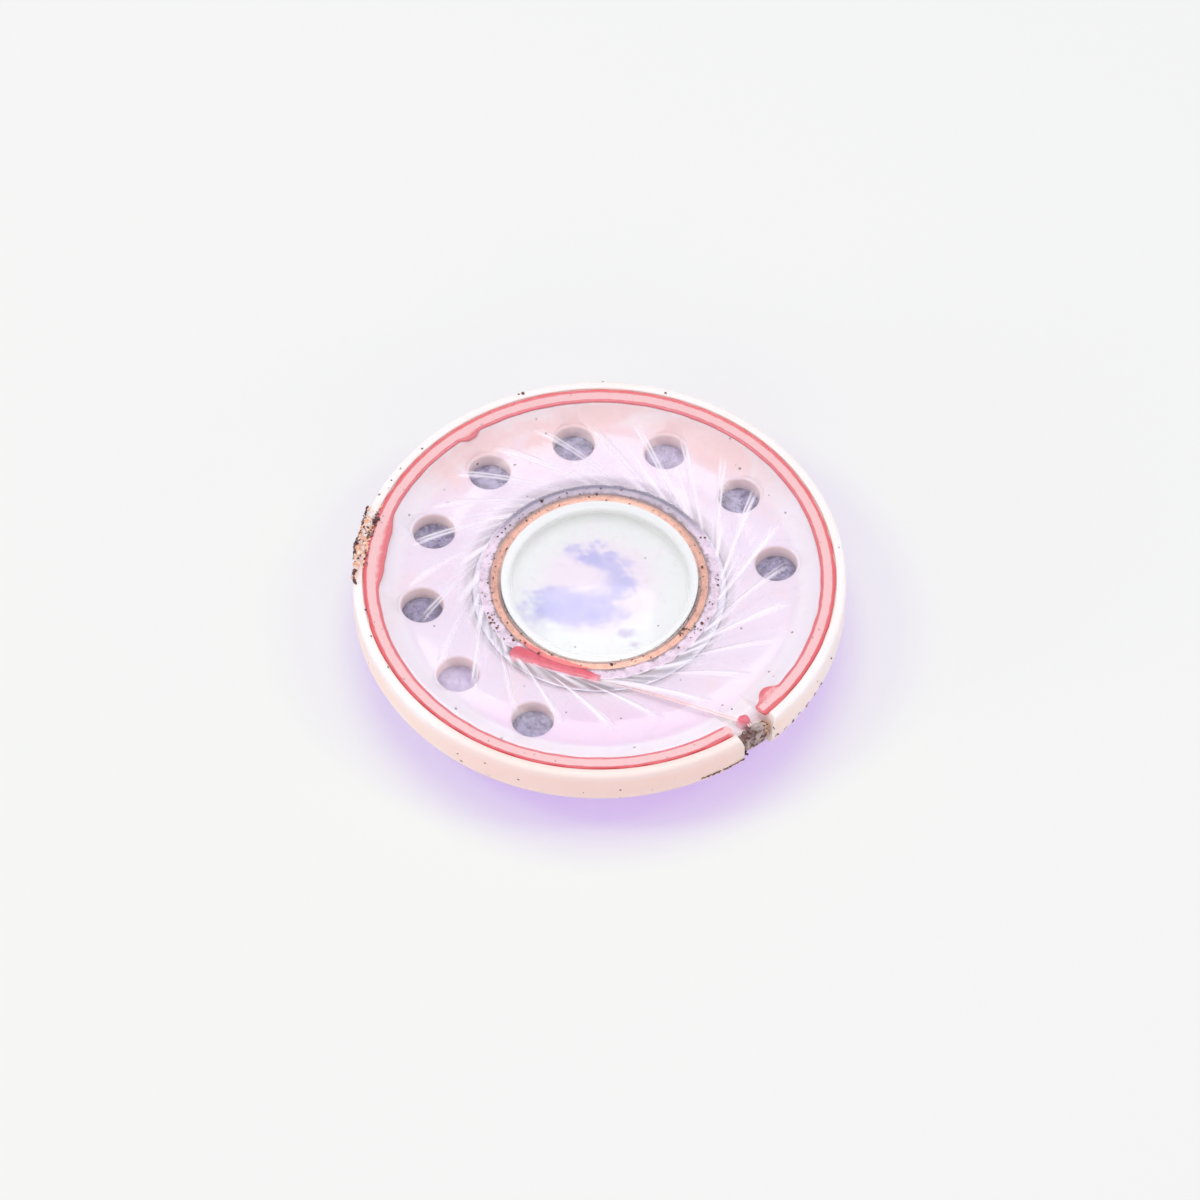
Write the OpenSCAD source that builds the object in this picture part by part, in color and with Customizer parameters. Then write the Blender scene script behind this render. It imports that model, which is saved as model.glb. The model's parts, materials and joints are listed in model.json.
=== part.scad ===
// Small round loudspeaker driver with a clear film diaphragm and a moulded plastic basket.
// Millimetres. The origin is the middle of the yoke cup's back, with +Z out of the film's side
// and -Y towards the notch where the leads leave.

/* [Basket] */
// Outside diameter of the rim
rim_d = 36; // [35:0.1:40]
// Height of the rim's side
rim_h = 3; // [2.8:0.05:3.6]
// Height of the dished floor above the yoke cup's front
floor_lift = 0.6; // [0.5:0.02:0.7]
// Rounding of the rim's front edge
rim_edge_r = 0.35; // [0.1:0.05:0.5]
// Set-back of the rim's rear part at the parting line
rim_step = 0.15; // [0.05:0.05:0.3]
// Height of the set-back rear part
rim_step_h = 0.5; // [0.2:0.05:0.8]
// Thickness of the rim's wall behind the floor
rim_wall = 1.6; // [1.2:0.05:1.8]
// Depth of the glue land below the rim's front face
land_sink = 0.3; // [0.2:0.02:0.4]
// Width of the rim's front face outside the glue land
rim_face_w = 0.7; // [0.6:0.05:1]
// Width of the glue land
land_w = 1.3; // [1.2:0.02:1.5]
// Width of the ridge along the middle of the glue land
ridge_w = 0.5; // [0.3:0.02:0.6]
// Height of that ridge
ridge_h = 0.12; // [0.06:0.01:0.2]
// Depth from the glue land to the dished floor
dish_depth = 0.7; // [0.6:0.02:0.8]
// Width of the slope from the glue land down to the floor
dish_slope_w = 1.6; // [1:0.05:1.8]
// Thickness of the floor
floor_t = 1.2; // [1:0.05:1.3]
// Wall of the collar round the yoke cup
collar_wall = 0.95; // [0.7:0.05:1]
// Length of the collar behind the floor
collar_h = 2.4; // [2:0.05:2.6]
// Slope of the seat's mouth, across and down
seat_chamfer = 0.6; // [0.55:0.05:0.75]

/* [Vents] */
// Diameter of a vent hole
vent_d = 3.07; // [2.4:0.01:3.2]
// Width of basket between a vent hole and the glue land
vent_land_gap = 1.4; // [1.2:0.02:1.6]
// Places for vents, evenly round the basket
vent_places = 12; // [10:1:12]
// Angle that the notch's side keeps free of vents
vent_blank_angle = 100; // [80:1:110]

/* [Magnet system] */
// Inside diameter of the voice coil
coil_in_d = 14.52; // [14:0.02:15]
// Thickness of the winding
coil_wall = 0.69; // [0.5:0.01:0.8]
// Height of the winding
coil_h = 2.4; // [2:0.05:2.6]
// Gap between pole plate and voice coil
gap_in = 0.26; // [0.2:0.01:0.4]
// Gap between voice coil and yoke cup
gap_out = 0.4; // [0.3:0.01:0.5]
// Side wall of the yoke cup
yoke_wall = 0.95; // [0.8:0.05:1.1]
// Base of the yoke cup
yoke_base = 1; // [0.8:0.05:1.2]
// Height of the yoke cup
yoke_h = 5; // [4.8:0.05:5.1]
// Rounding of the yoke cup's back edge
yoke_edge_r = 0.5; // [0.2:0.05:0.7]
// Thickness of the pole plate
plate_t = 1; // [0.8:0.05:1.2]
// Rounding of the pole plate's front edge
plate_edge_r = 0.12; // [0.05:0.01:0.2]
// How far the pole plate stands above the cup's front, under the dome
plate_proud = 0.45; // [0.2:0.05:0.5]
// How far the magnet stands in from the pole plate's edge
magnet_inset = 0.4; // [0.2:0.02:0.8]
// Chamfer of the magnet's edges
magnet_chamfer = 0.15; // [0.05:0.01:0.3]
// Thickness of a glue layer under or over the magnet
bond_t = 0.05; // [0.03:0.01:0.08]
// How far a glue layer stands in from the magnet's edge
bond_inset = 0.3; // [0.2:0.05:0.5]
// Clearance between yoke cup and collar
seat_clearance = 0.05; // [0.02:0.01:0.08]
// Leg of the glue bead behind the collar
yoke_bead = 0.6; // [0.3:0.05:0.7]
// Share of its leg that the bead's hollow face keeps at its middle
bead_hollow = 0.35; // [0.3:0.01:0.45]

/* [Diaphragm] */
// Thickness of the film as modelled
film_t = 0.1; // [0.08:0.01:0.12]
// Height of the film's seam above the pole plate
seam_lift = 0.9; // [0.85:0.01:1]
// Width of the flat seam outside the coil
seam_w = 0.9; // [0.8:0.02:1]
// Rise of the dome above the seam
dome_rise = 1.1; // [0.6:0.05:1.4]
// Rise of the surround's roll above the straight line from seam to land
roll_rise = 0.72; // [0.5:0.02:0.9]
// Clearance between the dome's part and the surround's part of the film
film_split = 0.05; // [0.03:0.01:0.08]
// Ribs pressed into the surround
rib_count = 24; // [16:1:28]
// Height of a rib
rib_h = 0.12; // [0.06:0.01:0.16]
// Angle that a rib takes up, in degrees
rib_angle = 3.2; // [2:0.1:5]
// Length over which a rib fades in and out at its ends
rib_fade = 0.5; // [0.3:0.05:0.8]
// Plain width of film between the ribs and the glue land
rib_end_gap = 1.6; // [1.2:0.05:2]
// Distance between the coil and the circle that ribs and leads are tangent to
tangent_gap = 0.2; // [0.18:0.01:0.25]

/* [Adhesive] */
// Thickness of red adhesive between ridge and film
glue_t = 0.04; // [0.02:0.01:0.08]
// Width of red adhesive on each side of the ridge
glue_side_w = 0.33; // [0.25:0.01:0.35]
// Height of the lip of adhesive round the film's edge
glue_lip_h = 0.06; // [0.02:0.01:0.08]
// Width of that lip
glue_lip_w = 0.08; // [0.05:0.01:0.12]
// Width of the gap in the adhesive at the slot
glue_gap_w = 2.7; // [2.7:0.05:3.2]
// Diameter of the blob on the adhesive's inner side
blob_d = 1.1; // [0.8:0.05:1.3]
// Distance of the blob's middle in from the adhesive's inner edge
blob_inset = 0.2; // [0.1:0.02:0.3]
// Distance of the blob to the side of the part's middle
blob_offset = 3.1; // [2.6:0.05:4]
// Drop of the glue fillet between coil and film
fillet_h = 0.3; // [0.15:0.01:0.35]
// Width of that fillet
fillet_w = 0.3; // [0.15:0.01:0.35]
// Thickness of the glue smeared under the seam
smear_t = 0.06; // [0.03:0.01:0.08]
// Thickness of the red dab on the leads
dab_t = 0.35; // [0.3:0.01:0.36]
// Width of the dab at its thick end
dab_head_w = 1.3; // [1.2:0.02:1.34]
// Width of the dab at its thin end
dab_tip_w = 0.75; // [0.6:0.05:0.85]
// Length of the dab before the point where the leads touch the coil's circle
dab_back = 3.2; // [2.5:0.05:3.4]
// Length of the dab after that point
dab_front = 2.9; // [2.4:0.05:3.4]
// Diameter of the red drop in the slot
drop_d = 1.1; // [0.9:0.02:1.2]
// Height of that drop
drop_h = 0.76; // [0.7:0.02:0.8]

/* [Leads] */
// Diameter of a lead as modelled
lead_d = 0.12; // [0.1:0.01:0.14]
// Distance between the middles of the two leads
lead_pitch = 0.18; // [0.18:0.01:0.2]
// Distance to the side of the part's middle at which the leads cross the slot
lead_offset = 0.4; // [0.2:0.02:0.6]
// Clearance round a lead where glue holds it
lead_clearance = 0.02; // [0.01:0.005:0.03]
// Upward bow of the leads between coil and rim
lead_bow = 0.2; // [0.1:0.02:0.26]
// Height of the leads above the floor where they cross the slot
lead_slot_lift = 0.38; // [0.3:0.01:0.44]
// Distance of the leads from the notch's inner wall where they run down it
lead_wall_gap = 0.35; // [0.3:0.01:0.4]
// Gap between the terminal board's back and the leads that run under it
lead_board_gap = 0.14; // [0.1:0.01:0.2]

/* [Terminals] */
// Width of the slot and notch in the rim
slot_w = 2.6; // [2.5:0.05:2.65]
// Distance of the slot and the notch to the side of the part's middle
slot_shift = 0.45; // [0.2:0.05:0.6]
// Depth of the notch in from the rim's outside
notch_depth = 1.05; // [1:0.01:1.1]
// Set-back of the sealant's outside from the rim's outside
sealant_inset = 0.15; // [0.1:0.01:0.3]
// Clearance of the sealant to each side of the notch
sealant_clearance = 0.05; // [0.02:0.01:0.1]
// Thickness of the terminal board
board_t = 0.7; // [0.5:0.05:0.75]
// Angle that the terminal board takes up
board_angle = 72; // [60:1:80]
// Clearance between the terminal board and the walls beside it
board_clearance = 0.2; // [0.1:0.02:0.3]
// Distance between the collar and the terminal board
board_collar_gap = 0.5; // [0.3:0.05:0.7]
// Thickness of the glue over the terminal board
board_bond_t = 0.05; // [0.03:0.01:0.06]
// Distance of that glue from the board's edges
board_bond_inset = 0.3; // [0.2:0.05:0.5]
// Thickness of a copper pad
pad_t = 0.05; // [0.03:0.01:0.06]
// Width of a copper pad, measured outwards
pad_w = 3; // [2.4:0.05:3.4]
// Angle that a copper pad takes up
pad_angle = 18; // [12:1:20]
// Angle between the middles of the two pads
pad_spread = 32; // [26:1:36]
// Diameter of a solder joint
joint_d = 1.8; // [1.4:0.05:2]
// Height of a solder joint
joint_h = 0.4; // [0.3:0.02:0.5]

/* [Damping paper] */
// Thickness of the paper
paper_t = 0.3; // [0.2:0.02:0.4]
// Clearance of the paper to the collar and to the rim's inner wall
paper_clearance = 0.35; // [0.2:0.01:0.5]
// Angle between the paper's ends and the terminal board
paper_gap_angle = 6; // [3:1:8]

/* [Hidden] */

// Direction of the notch, and a small overlap for cuts
notch_angle = 270;
cut = 1;
round_fn = 128;
fine_fn = 48;

// Heights, from the yoke cup's back upwards
floor_z = yoke_h + floor_lift;
floor_back_z = floor_z - floor_t;
land_z = floor_z + dish_depth;
ridge_z = land_z + ridge_h;
film_rest_z = ridge_z + glue_t;
rim_top_z = land_z + land_sink;
rim_back_z = rim_top_z - rim_h;
collar_z = floor_back_z - collar_h;
plate_top_z = yoke_h + plate_proud;
plate_z = plate_top_z - plate_t;
seam_z = yoke_h + seam_lift;
coil_z = seam_z - coil_h;

// Radii of the rim and the floor
rim_r = rim_d / 2;
land_out_r = rim_r - rim_face_w;
land_in_r = land_out_r - land_w;
ridge_r = (land_out_r + land_in_r) / 2;
floor_r = land_in_r - dish_slope_w;
recess_r = rim_r - rim_wall;
notch_r = rim_r - notch_depth;
vent_circle_r = land_in_r - vent_land_gap - vent_d / 2;

// Radii of the magnet system, all from the voice coil
coil_in_r = coil_in_d / 2;
coil_out_r = coil_in_r + coil_wall;
plate_r = coil_in_r - gap_in;
magnet_r = plate_r - magnet_inset;
yoke_in_r = coil_out_r + gap_out;
yoke_r = yoke_in_r + yoke_wall;
seat_r = yoke_r + seat_clearance;
collar_r = seat_r + collar_wall;

// Radii of the film
seam_r = coil_out_r + seam_w;
surround_in_r = seam_r + film_split;
tangent_r = coil_out_r + tangent_gap;
glue_in_r = ridge_r - ridge_w / 2 - glue_side_w;
glue_out_r = ridge_r + ridge_w / 2 + glue_side_w;
film_out_r = glue_out_r - glue_lip_w - film_split;

// Terminal board, with the pads and joints on its back
board_out_r = recess_r - board_clearance;
board_in_r = collar_r + board_collar_gap;
board_z = floor_back_z - board_bond_t - board_t;
pad_z = board_z - pad_t;
joint_r = (board_out_r + board_in_r) / 2;
tongue_r = notch_r - board_clearance;

// Columns of the surround's net: one rib is up over its middle half, then comes the plain film
rib_pitch = 360 / rib_count;
rib_columns = [
    [0, 0],
    [rib_angle / 4, 1],
    [rib_angle * 3 / 4, 1],
    [rib_angle, 0],
    [(rib_angle + rib_pitch) / 2, 0]
];
surround_columns = [for (rib = [0:rib_count - 1]) for (column = rib_columns)
    [rib * rib_pitch + column[0], column[1]]];

// Rows of the net, from the seam outwards: radius, and how much of the rib's height is there
rib_rows = 4;
rib_end_r = land_in_r - rib_end_gap;
rib_first_r = surround_in_r + rib_fade;
rib_last_r = rib_end_r - rib_fade;
surround_rows = concat(
    [[surround_in_r, 0]],
    [for (i = [0:rib_rows - 1]) [rib_first_r + (rib_last_r - rib_first_r) * i / (rib_rows - 1), 1]],
    [[rib_end_r, 0], [(rib_end_r + land_in_r) / 2, 0], [land_in_r, 0], [film_out_r, 0]]
);

// Leads: where they touch the coil's circle, how far it is to the slot, and their heights
lead_angle = notch_angle + asin(lead_offset / ridge_r) - acos(tangent_r / ridge_r);
lead_run = sqrt(ridge_r * ridge_r - tangent_r * tangent_r);
lead_straight = dab_front + dab_tip_w / 2 + lead_d;
lead_dab_z = seam_z - dab_t / 2;
lead_slot_z = floor_z + lead_slot_lift;
lead_back_z = board_z - lead_board_gap - lead_d / 2;
lead_fall_r = notch_r + lead_wall_gap;
lead_turn_r = notch_r + lead_wall_gap / 3;
lead_steps = 5;
lead_sides = 8;

// Height of the surround's upper side at radius r: a straight line with a parabola on it, flat past the land
function film_top(r) =
    let (t = min(1, (r - surround_in_r) / (land_in_r - surround_in_r)))
    seam_z + film_t + (film_rest_z - seam_z) * t + 4 * roll_rise * t * (1 - t);

// Points of an arc in a section, from angle a to angle b
function arc_points(x, y, r, a, b, steps) =
    [for (i = [0:steps]) [x + r * cos(a + (b - a) * i / steps), y + r * sin(a + (b - a) * i / steps)]];

// Radius of the sphere that has a cap of this half width and height
function cap_r(half_w, h) = (half_w * half_w + h * h) / (2 * h);

// Point beside the leads' line: s along it from the coil, off outwards from it
function lead_point(s, off, z) = [
    (tangent_r + off) * cos(lead_angle) - s * sin(lead_angle),
    (tangent_r + off) * sin(lead_angle) + s * cos(lead_angle),
    z
];

// Middle of the solder joint on one side of the notch
function joint_point(side) = [
    joint_r * cos(notch_angle + side * pad_spread / 2),
    joint_r * sin(notch_angle + side * pad_spread / 2)
];

// Route of one lead: through the dab, over the floor, down the notch and under the board to its joint
function lead_route(side) =
    let (off = -side * lead_pitch / 2, x = lead_offset + side * lead_pitch / 2)
    let (joint = joint_point(side), corner = [x, -recess_r + 2 * board_clearance])
    let (way = (corner - joint) / norm(corner - joint))
    let (stop = joint + way * (joint_shoulder + lead_d / 2))
    concat(
        [lead_point(0, off, lead_dab_z)],
        [for (i = [0:lead_steps])
            let (t = i / lead_steps)
            lead_point(
                lead_straight + (lead_run - lead_straight) * t,
                off,
                lead_dab_z + (lead_slot_z - lead_dab_z) * t + 4 * lead_bow * t * (1 - t)
            )],
        [
            [x, -lead_turn_r, lead_slot_z - lead_d],
            [x, -lead_fall_r, (lead_slot_z + floor_back_z) / 2],
            [x, -lead_fall_r, board_z + lead_board_gap],
            [x, -lead_turn_r, lead_back_z],
            [corner[0], corner[1], lead_back_z],
            [stop[0], stop[1], lead_back_z]
        ]
    );

// Half width of a solder joint at the leads' height
joint_cap_r = cap_r(joint_d / 2, joint_h);
joint_shoulder = sqrt(pow(joint_cap_r, 2) - pow(joint_cap_r - joint_h + pad_z - lead_back_z, 2));

// Tube along a route, with rings square to it. No part of the route runs along X alone.
module tube(route, r) {
    n = len(route);
    function along(i) = route[min(i + 1, n - 1)] - route[max(i - 1, 0)];
    function side_way(i) = cross([1, 0, 0], along(i)) / norm(cross([1, 0, 0], along(i)));
    function other_way(i) = cross(along(i), side_way(i)) / norm(along(i));
    points = [for (i = [0:n - 1]) for (k = [0:lead_sides - 1])
        let (turn = 360 * k / lead_sides)
        route[i] + r * (side_way(i) * cos(turn) + other_way(i) * sin(turn))];
    walls = [for (i = [0:n - 2]) for (k = [0:lead_sides - 1])
        let (next = (k + 1) % lead_sides, here = i * lead_sides, ahead = here + lead_sides)
        for (face = [[here + k, ahead + k, ahead + next], [here + k, ahead + next, here + next]]) face];
    ends = [
        [for (k = [0:lead_sides - 1]) k],
        [for (k = [lead_sides - 1:-1:0]) (n - 1) * lead_sides + k]
    ];
    polyhedron(points, concat(walls, ends), convexity = 4);
}

// Block between two corners
module block(low, high) {
    translate(low) cube(high - low);
}

// Upright wedge from the axis, for cutting rings: its middle angle and its whole angle
module wedge(middle, span, low_z, high_z) {
    reach = rim_d;
    translate([0, 0, low_z]) linear_extrude(high_z - low_z) polygon([
        [0, 0],
        reach * [cos(middle - span / 2), sin(middle - span / 2)],
        reach * [cos(middle), sin(middle)],
        reach * [cos(middle + span / 2), sin(middle + span / 2)]
    ]);
}

// Flat ring
module ring(in_r, out_r, low_z, high_z) {
    difference() {
        translate([0, 0, low_z]) cylinder(h = high_z - low_z, r = out_r, $fn = round_fn);
        translate([0, 0, low_z - cut]) cylinder(h = high_z - low_z + 2 * cut, r = in_r, $fn = round_fn);
    }
}

// Part of a flat ring
module ring_part(in_r, out_r, low_z, high_z, middle, span) {
    intersection() {
        ring(in_r, out_r, low_z, high_z);
        wedge(middle, span, low_z - cut, high_z + cut);
    }
}

// Round cap with a flat base at height 0: its base's diameter and its height
module cap(d, h) {
    r = cap_r(d / 2, h);
    intersection() {
        translate([0, 0, h - r]) sphere(r, $fn = fine_fn);
        cylinder(h = h + cut, r = d, $fn = fine_fn);
    }
}

// Shape turned from a section
module turned(section) {
    rotate_extrude($fn = round_fn) polygon(section);
}

// Outline of the dab seen from above
module dab_outline() {
    translate(tangent_r * [cos(lead_angle), sin(lead_angle)]) rotate(lead_angle + 90) {
        translate([-dab_back, 0]) circle(d = dab_head_w, $fn = fine_fn);
        translate([dab_front, 0]) circle(d = dab_tip_w, $fn = fine_fn);
        polygon([
            [-dab_back, -dab_head_w / 2],
            [dab_front, -dab_tip_w / 2],
            [dab_front, dab_tip_w / 2],
            [-dab_back, dab_head_w / 2]
        ]);
    }
}

// Room for the slot or the notch, from a radius outwards and between two heights
module notch_cut(from_r, low_z, high_z) {
    translate([slot_shift, 0, 0])
        block([-slot_w / 2, -rim_r - cut, low_z], [slot_w / 2, -from_r, high_z]);
}

// Moulded basket: rim, glue land with its ridge, dished floor with vents, slot, notch and collar
module basket() {
    section = concat(
        [
            [seat_r, collar_z],
            [collar_r, collar_z],
            [collar_r, floor_back_z],
            [recess_r, floor_back_z],
            [recess_r, rim_back_z],
            [rim_r - rim_step, rim_back_z],
            [rim_r - rim_step, rim_back_z + rim_step_h],
            [rim_r, rim_back_z + rim_step_h]
        ],
        arc_points(rim_r - rim_edge_r, rim_top_z - rim_edge_r, rim_edge_r, 0, 90, 6),
        [
            [land_out_r, rim_top_z],
            [land_out_r, land_z],
            [ridge_r + ridge_w / 2, land_z],
            [ridge_r + ridge_w / 2, ridge_z],
            [ridge_r - ridge_w / 2, ridge_z],
            [ridge_r - ridge_w / 2, land_z],
            [land_in_r, land_z],
            [floor_r, floor_z],
            [seat_r + seat_chamfer, floor_z],
            [seat_r, floor_z - seat_chamfer]
        ]
    );
    color("linen") difference() {
        turned(section);
        for (i = [0:vent_places - 1]) {
            turn = i * 360 / vent_places;
            if (abs(turn - 180) >= vent_blank_angle / 2)
                rotate(notch_angle + 180 + turn) translate([vent_circle_r, 0, floor_back_z - cut])
                    cylinder(h = floor_t + 2 * cut, d = vent_d, $fn = fine_fn);
        }
        notch_cut(floor_r - slot_w / 4, floor_z, rim_top_z + cut);
        notch_cut(notch_r, rim_back_z - cut, rim_top_z + cut);
        notch_cut(recess_r - slot_w / 4, rim_back_z - cut, floor_back_z);
    }
}

// Drawn steel cup that closes the magnetic circuit
module yoke_cup() {
    color("silver") turned(concat(
        [[0, 0]],
        arc_points(yoke_r - yoke_edge_r, yoke_edge_r, yoke_edge_r, -90, 0, 6),
        [[yoke_r, yoke_h], [yoke_in_r, yoke_h], [yoke_in_r, yoke_base], [0, yoke_base]]
    ));
}

// Bead of glue in the corner behind the collar
module yoke_adhesive() {
    color("goldenrod") turned([
        [yoke_r, collar_z - yoke_bead],
        [yoke_r + yoke_bead * bead_hollow, collar_z - yoke_bead * bead_hollow],
        [yoke_r + yoke_bead, collar_z],
        [yoke_r, collar_z]
    ]);
}

// Disc magnet in the middle of the cup
module magnet() {
    low_z = yoke_base + bond_t;
    high_z = plate_z - bond_t;
    color("dimgray") turned([
        [0, low_z],
        [magnet_r - magnet_chamfer, low_z],
        [magnet_r, low_z + magnet_chamfer],
        [magnet_r, high_z - magnet_chamfer],
        [magnet_r - magnet_chamfer, high_z],
        [0, high_z]
    ]);
}

// Layer of glue on one side of the magnet
module magnet_bond(low_z) {
    translate([0, 0, low_z]) cylinder(h = bond_t, r = magnet_r - bond_inset, $fn = round_fn);
}

// Glue between cup and magnet
module magnet_adhesive() {
    color("khaki") magnet_bond(yoke_base);
}

// Steel disc on the magnet, seen through the dome
module pole_plate() {
    color("gainsboro") turned(concat(
        [[0, plate_z], [plate_r, plate_z]],
        arc_points(plate_r - plate_edge_r, plate_top_z - plate_edge_r, plate_edge_r, 0, 90, 4),
        [[0, plate_top_z]]
    ));
}

// Glue between magnet and pole plate
module plate_adhesive() {
    color("khaki") magnet_bond(plate_z - bond_t);
}

// Copper winding, with no former
module voice_coil() {
    color("peru") ring(coil_in_r, coil_out_r, coil_z, seam_z);
}

// Glue that holds the coil to the film: a fillet beside the coil and a smear under the seam
module coil_adhesive() {
    color("lavender") difference() {
        turned([
            [coil_out_r, seam_z - fillet_h],
            [coil_out_r + fillet_w, seam_z - smear_t],
            [seam_r, seam_z - smear_t],
            [seam_r, seam_z],
            [coil_out_r, seam_z]
        ]);
        translate([0, 0, seam_z - fillet_h - cut]) linear_extrude(fillet_h + 2 * cut) dab_outline();
    }
}

// Middle of the film: the dome over the pole plate and the flat seam on the coil
module diaphragm_dome() {
    top_z = seam_z + film_t;
    r = cap_r(coil_in_r, dome_rise);
    middle_z = top_z + dome_rise - r;
    reach = asin(coil_in_r / r);
    low_r = r - film_t;
    low_reach = acos((seam_z - middle_z) / low_r);
    color("lavenderblush", 0.5) turned(concat(
        [[seam_r, seam_z], [seam_r, top_z]],
        arc_points(0, middle_z, r, 90 - reach, 90, 16),
        arc_points(0, middle_z, low_r, 90, 90 - low_reach, 16)
    ));
}

// Outer part of the film: seam edge, ribbed roll and the flat edge on the glue
module diaphragm_surround() {
    rows = len(surround_rows);
    columns = len(surround_columns);
    points = [for (drop = [0, film_t]) for (row = surround_rows) for (column = surround_columns)
        let (turn = column[0] + acos(tangent_r / row[0]))
        [row[0] * cos(turn), row[0] * sin(turn), film_top(row[0]) + rib_h * row[1] * column[1] - drop]];
    low = rows * columns;
    last = (rows - 1) * columns;
    skins = [for (i = [0:rows - 2]) for (j = [0:columns - 1])
        let (next = (j + 1) % columns, a = i * columns + j, b = a + columns)
        let (d = i * columns + next, c = d + columns)
        for (face = [[a, d, c], [a, c, b], [low + a, low + b, low + c], [low + a, low + c, low + d]]) face];
    edges = [for (j = [0:columns - 1])
        let (next = (j + 1) % columns)
        for (face = [
            [next, j, low + j],
            [next, low + j, low + next],
            [last + j, last + next, low + last + next],
            [last + j, low + last + next, low + last + j]
        ]) face];
    color("lavender", 0.5) polyhedron(points, concat(skins, edges), convexity = 6);
}

// Red adhesive on both sides of the ridge and over it, with a lip round the film and a blob inside
module diaphragm_glue_ring() {
    ridge_in_r = ridge_r - ridge_w / 2;
    color("indianred") difference() {
        union() {
            turned([
                [glue_in_r, land_z],
                [ridge_in_r, land_z],
                [ridge_in_r, ridge_z],
                [ridge_in_r + ridge_w, ridge_z],
                [ridge_in_r + ridge_w, land_z],
                [glue_out_r, land_z],
                [glue_out_r, film_rest_z + glue_lip_h],
                [glue_out_r - glue_lip_w, film_rest_z + glue_lip_h],
                [glue_out_r - glue_lip_w, film_rest_z],
                [glue_in_r, film_rest_z]
            ]);
            intersection() {
                turned([
                    [floor_r, floor_z],
                    [land_in_r, land_z],
                    [ridge_in_r, land_z],
                    [ridge_in_r, film_rest_z],
                    [floor_r, film_rest_z]
                ]);
                rotate(notch_angle + asin(blob_offset / glue_in_r))
                    translate([glue_in_r - blob_inset, 0, floor_z])
                        cylinder(h = film_rest_z - floor_z, d = blob_d, $fn = fine_fn);
            }
        }
        translate([slot_shift, 0, 0])
            block([-glue_gap_w / 2, -rim_r, land_z - cut], [glue_gap_w / 2, -floor_r, rim_top_z + cut]);
    }
}

// First lead
module lead_wire_a() {
    color("sienna") tube(lead_route(1), lead_d / 2);
}

// Second lead
module lead_wire_b() {
    color("sienna") tube(lead_route(-1), lead_d / 2);
}

// Long dab that ties both leads to the coil and the film
module lead_glue_dab() {
    color("crimson") difference() {
        translate([0, 0, seam_z - dab_t]) linear_extrude(dab_t) dab_outline();
        translate([0, 0, seam_z - dab_t - cut]) cylinder(h = dab_t + 2 * cut, r = coil_out_r, $fn = round_fn);
        for (side = [-1, 1])
            translate(lead_point(-lead_d, side * lead_pitch / 2, lead_dab_z))
                rotate([0, 90, lead_angle + 90])
                    cylinder(h = lead_straight + cut, r = lead_d / 2 + lead_clearance, $fn = fine_fn);
    }
}

// Drop that holds both leads on the slot's floor
module exit_glue_drop() {
    color("crimson") difference() {
        translate([lead_offset, drop_d / 2 - film_out_r, floor_z]) cap(drop_d, drop_h);
        lead_channels();
    }
}

// Sealant that fills the notch round the leads
module notch_sealant() {
    side = slot_w / 2 - sealant_clearance;
    color("rosybrown") difference() {
        intersection() {
            translate([slot_shift, 0, 0])
                block([-side, -rim_r, floor_back_z], [side, -film_out_r - film_split, film_rest_z]);
            cylinder(h = rim_top_z, r = rim_r - sealant_inset, $fn = round_fn);
        }
        lead_channels();
    }
}

// Room for both leads in what is cast round them
module lead_channels() {
    for (side = [-1, 1])
        tube(lead_route(side), lead_d / 2 + lead_clearance);
}

// Board behind the floor, with a tongue into the notch
module terminal_board() {
    tongue = slot_w / 2 - board_clearance;
    color("darkkhaki") union() {
        ring_part(board_in_r, board_out_r, board_z, board_z + board_t, notch_angle, board_angle);
        translate([slot_shift, 0, 0])
            block([-tongue, -tongue_r, board_z], [tongue, -joint_r, board_z + board_t]);
    }
}

// Glue between the floor and the board
module board_adhesive() {
    color("khaki") ring_part(
        board_in_r + board_bond_inset, board_out_r - board_bond_inset,
        floor_back_z - board_bond_t, floor_back_z, notch_angle, board_angle - paper_gap_angle
    );
}

// Two copper pads on the board's back
module solder_pads() {
    color("orange") for (side = [-1, 1])
        ring_part(
            joint_r - pad_w / 2, joint_r + pad_w / 2, pad_z, board_z,
            notch_angle + side * pad_spread / 2, pad_angle
        );
}

// Two solder joints on the pads
module solder_joints() {
    color("lightgray") for (side = [-1, 1])
        translate(concat(joint_point(side), pad_z)) mirror([0, 0, 1]) cap(joint_d, joint_h);
}

// Paper over the vents' backs
module damping_paper() {
    low_z = floor_back_z - paper_t;
    color("slategray") difference() {
        ring(collar_r + paper_clearance, recess_r - paper_clearance, low_z, floor_back_z);
        wedge(notch_angle, board_angle + 2 * paper_gap_angle, low_z - cut, floor_back_z + cut);
    }
}

basket();
yoke_cup();
yoke_adhesive();
magnet();
magnet_adhesive();
pole_plate();
plate_adhesive();
voice_coil();
coil_adhesive();
diaphragm_dome();
diaphragm_surround();
diaphragm_glue_ring();
lead_wire_a();
lead_wire_b();
lead_glue_dab();
exit_glue_drop();
notch_sealant();
terminal_board();
board_adhesive();
solder_pads();
solder_joints();
damping_paper();
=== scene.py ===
"""Looks of a small round loudspeaker driver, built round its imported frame.

The driver lies on a pale floor with its clear ribbed film up, as in the photograph. Shapes are worked out
in millimetres, in the frame's axes: +Z out of the film, -Y towards the notch where the leads leave. They
become metres when a mesh is made. A row angle is the angle round Z from +X, in degrees.
"""

from __future__ import annotations

import json
import logging
import math
from abc import ABC, abstractmethod
from dataclasses import dataclass, field
from enum import Enum
from typing import ClassVar

import bpy
import numpy as np
from mathutils import Matrix, Vector

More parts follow.
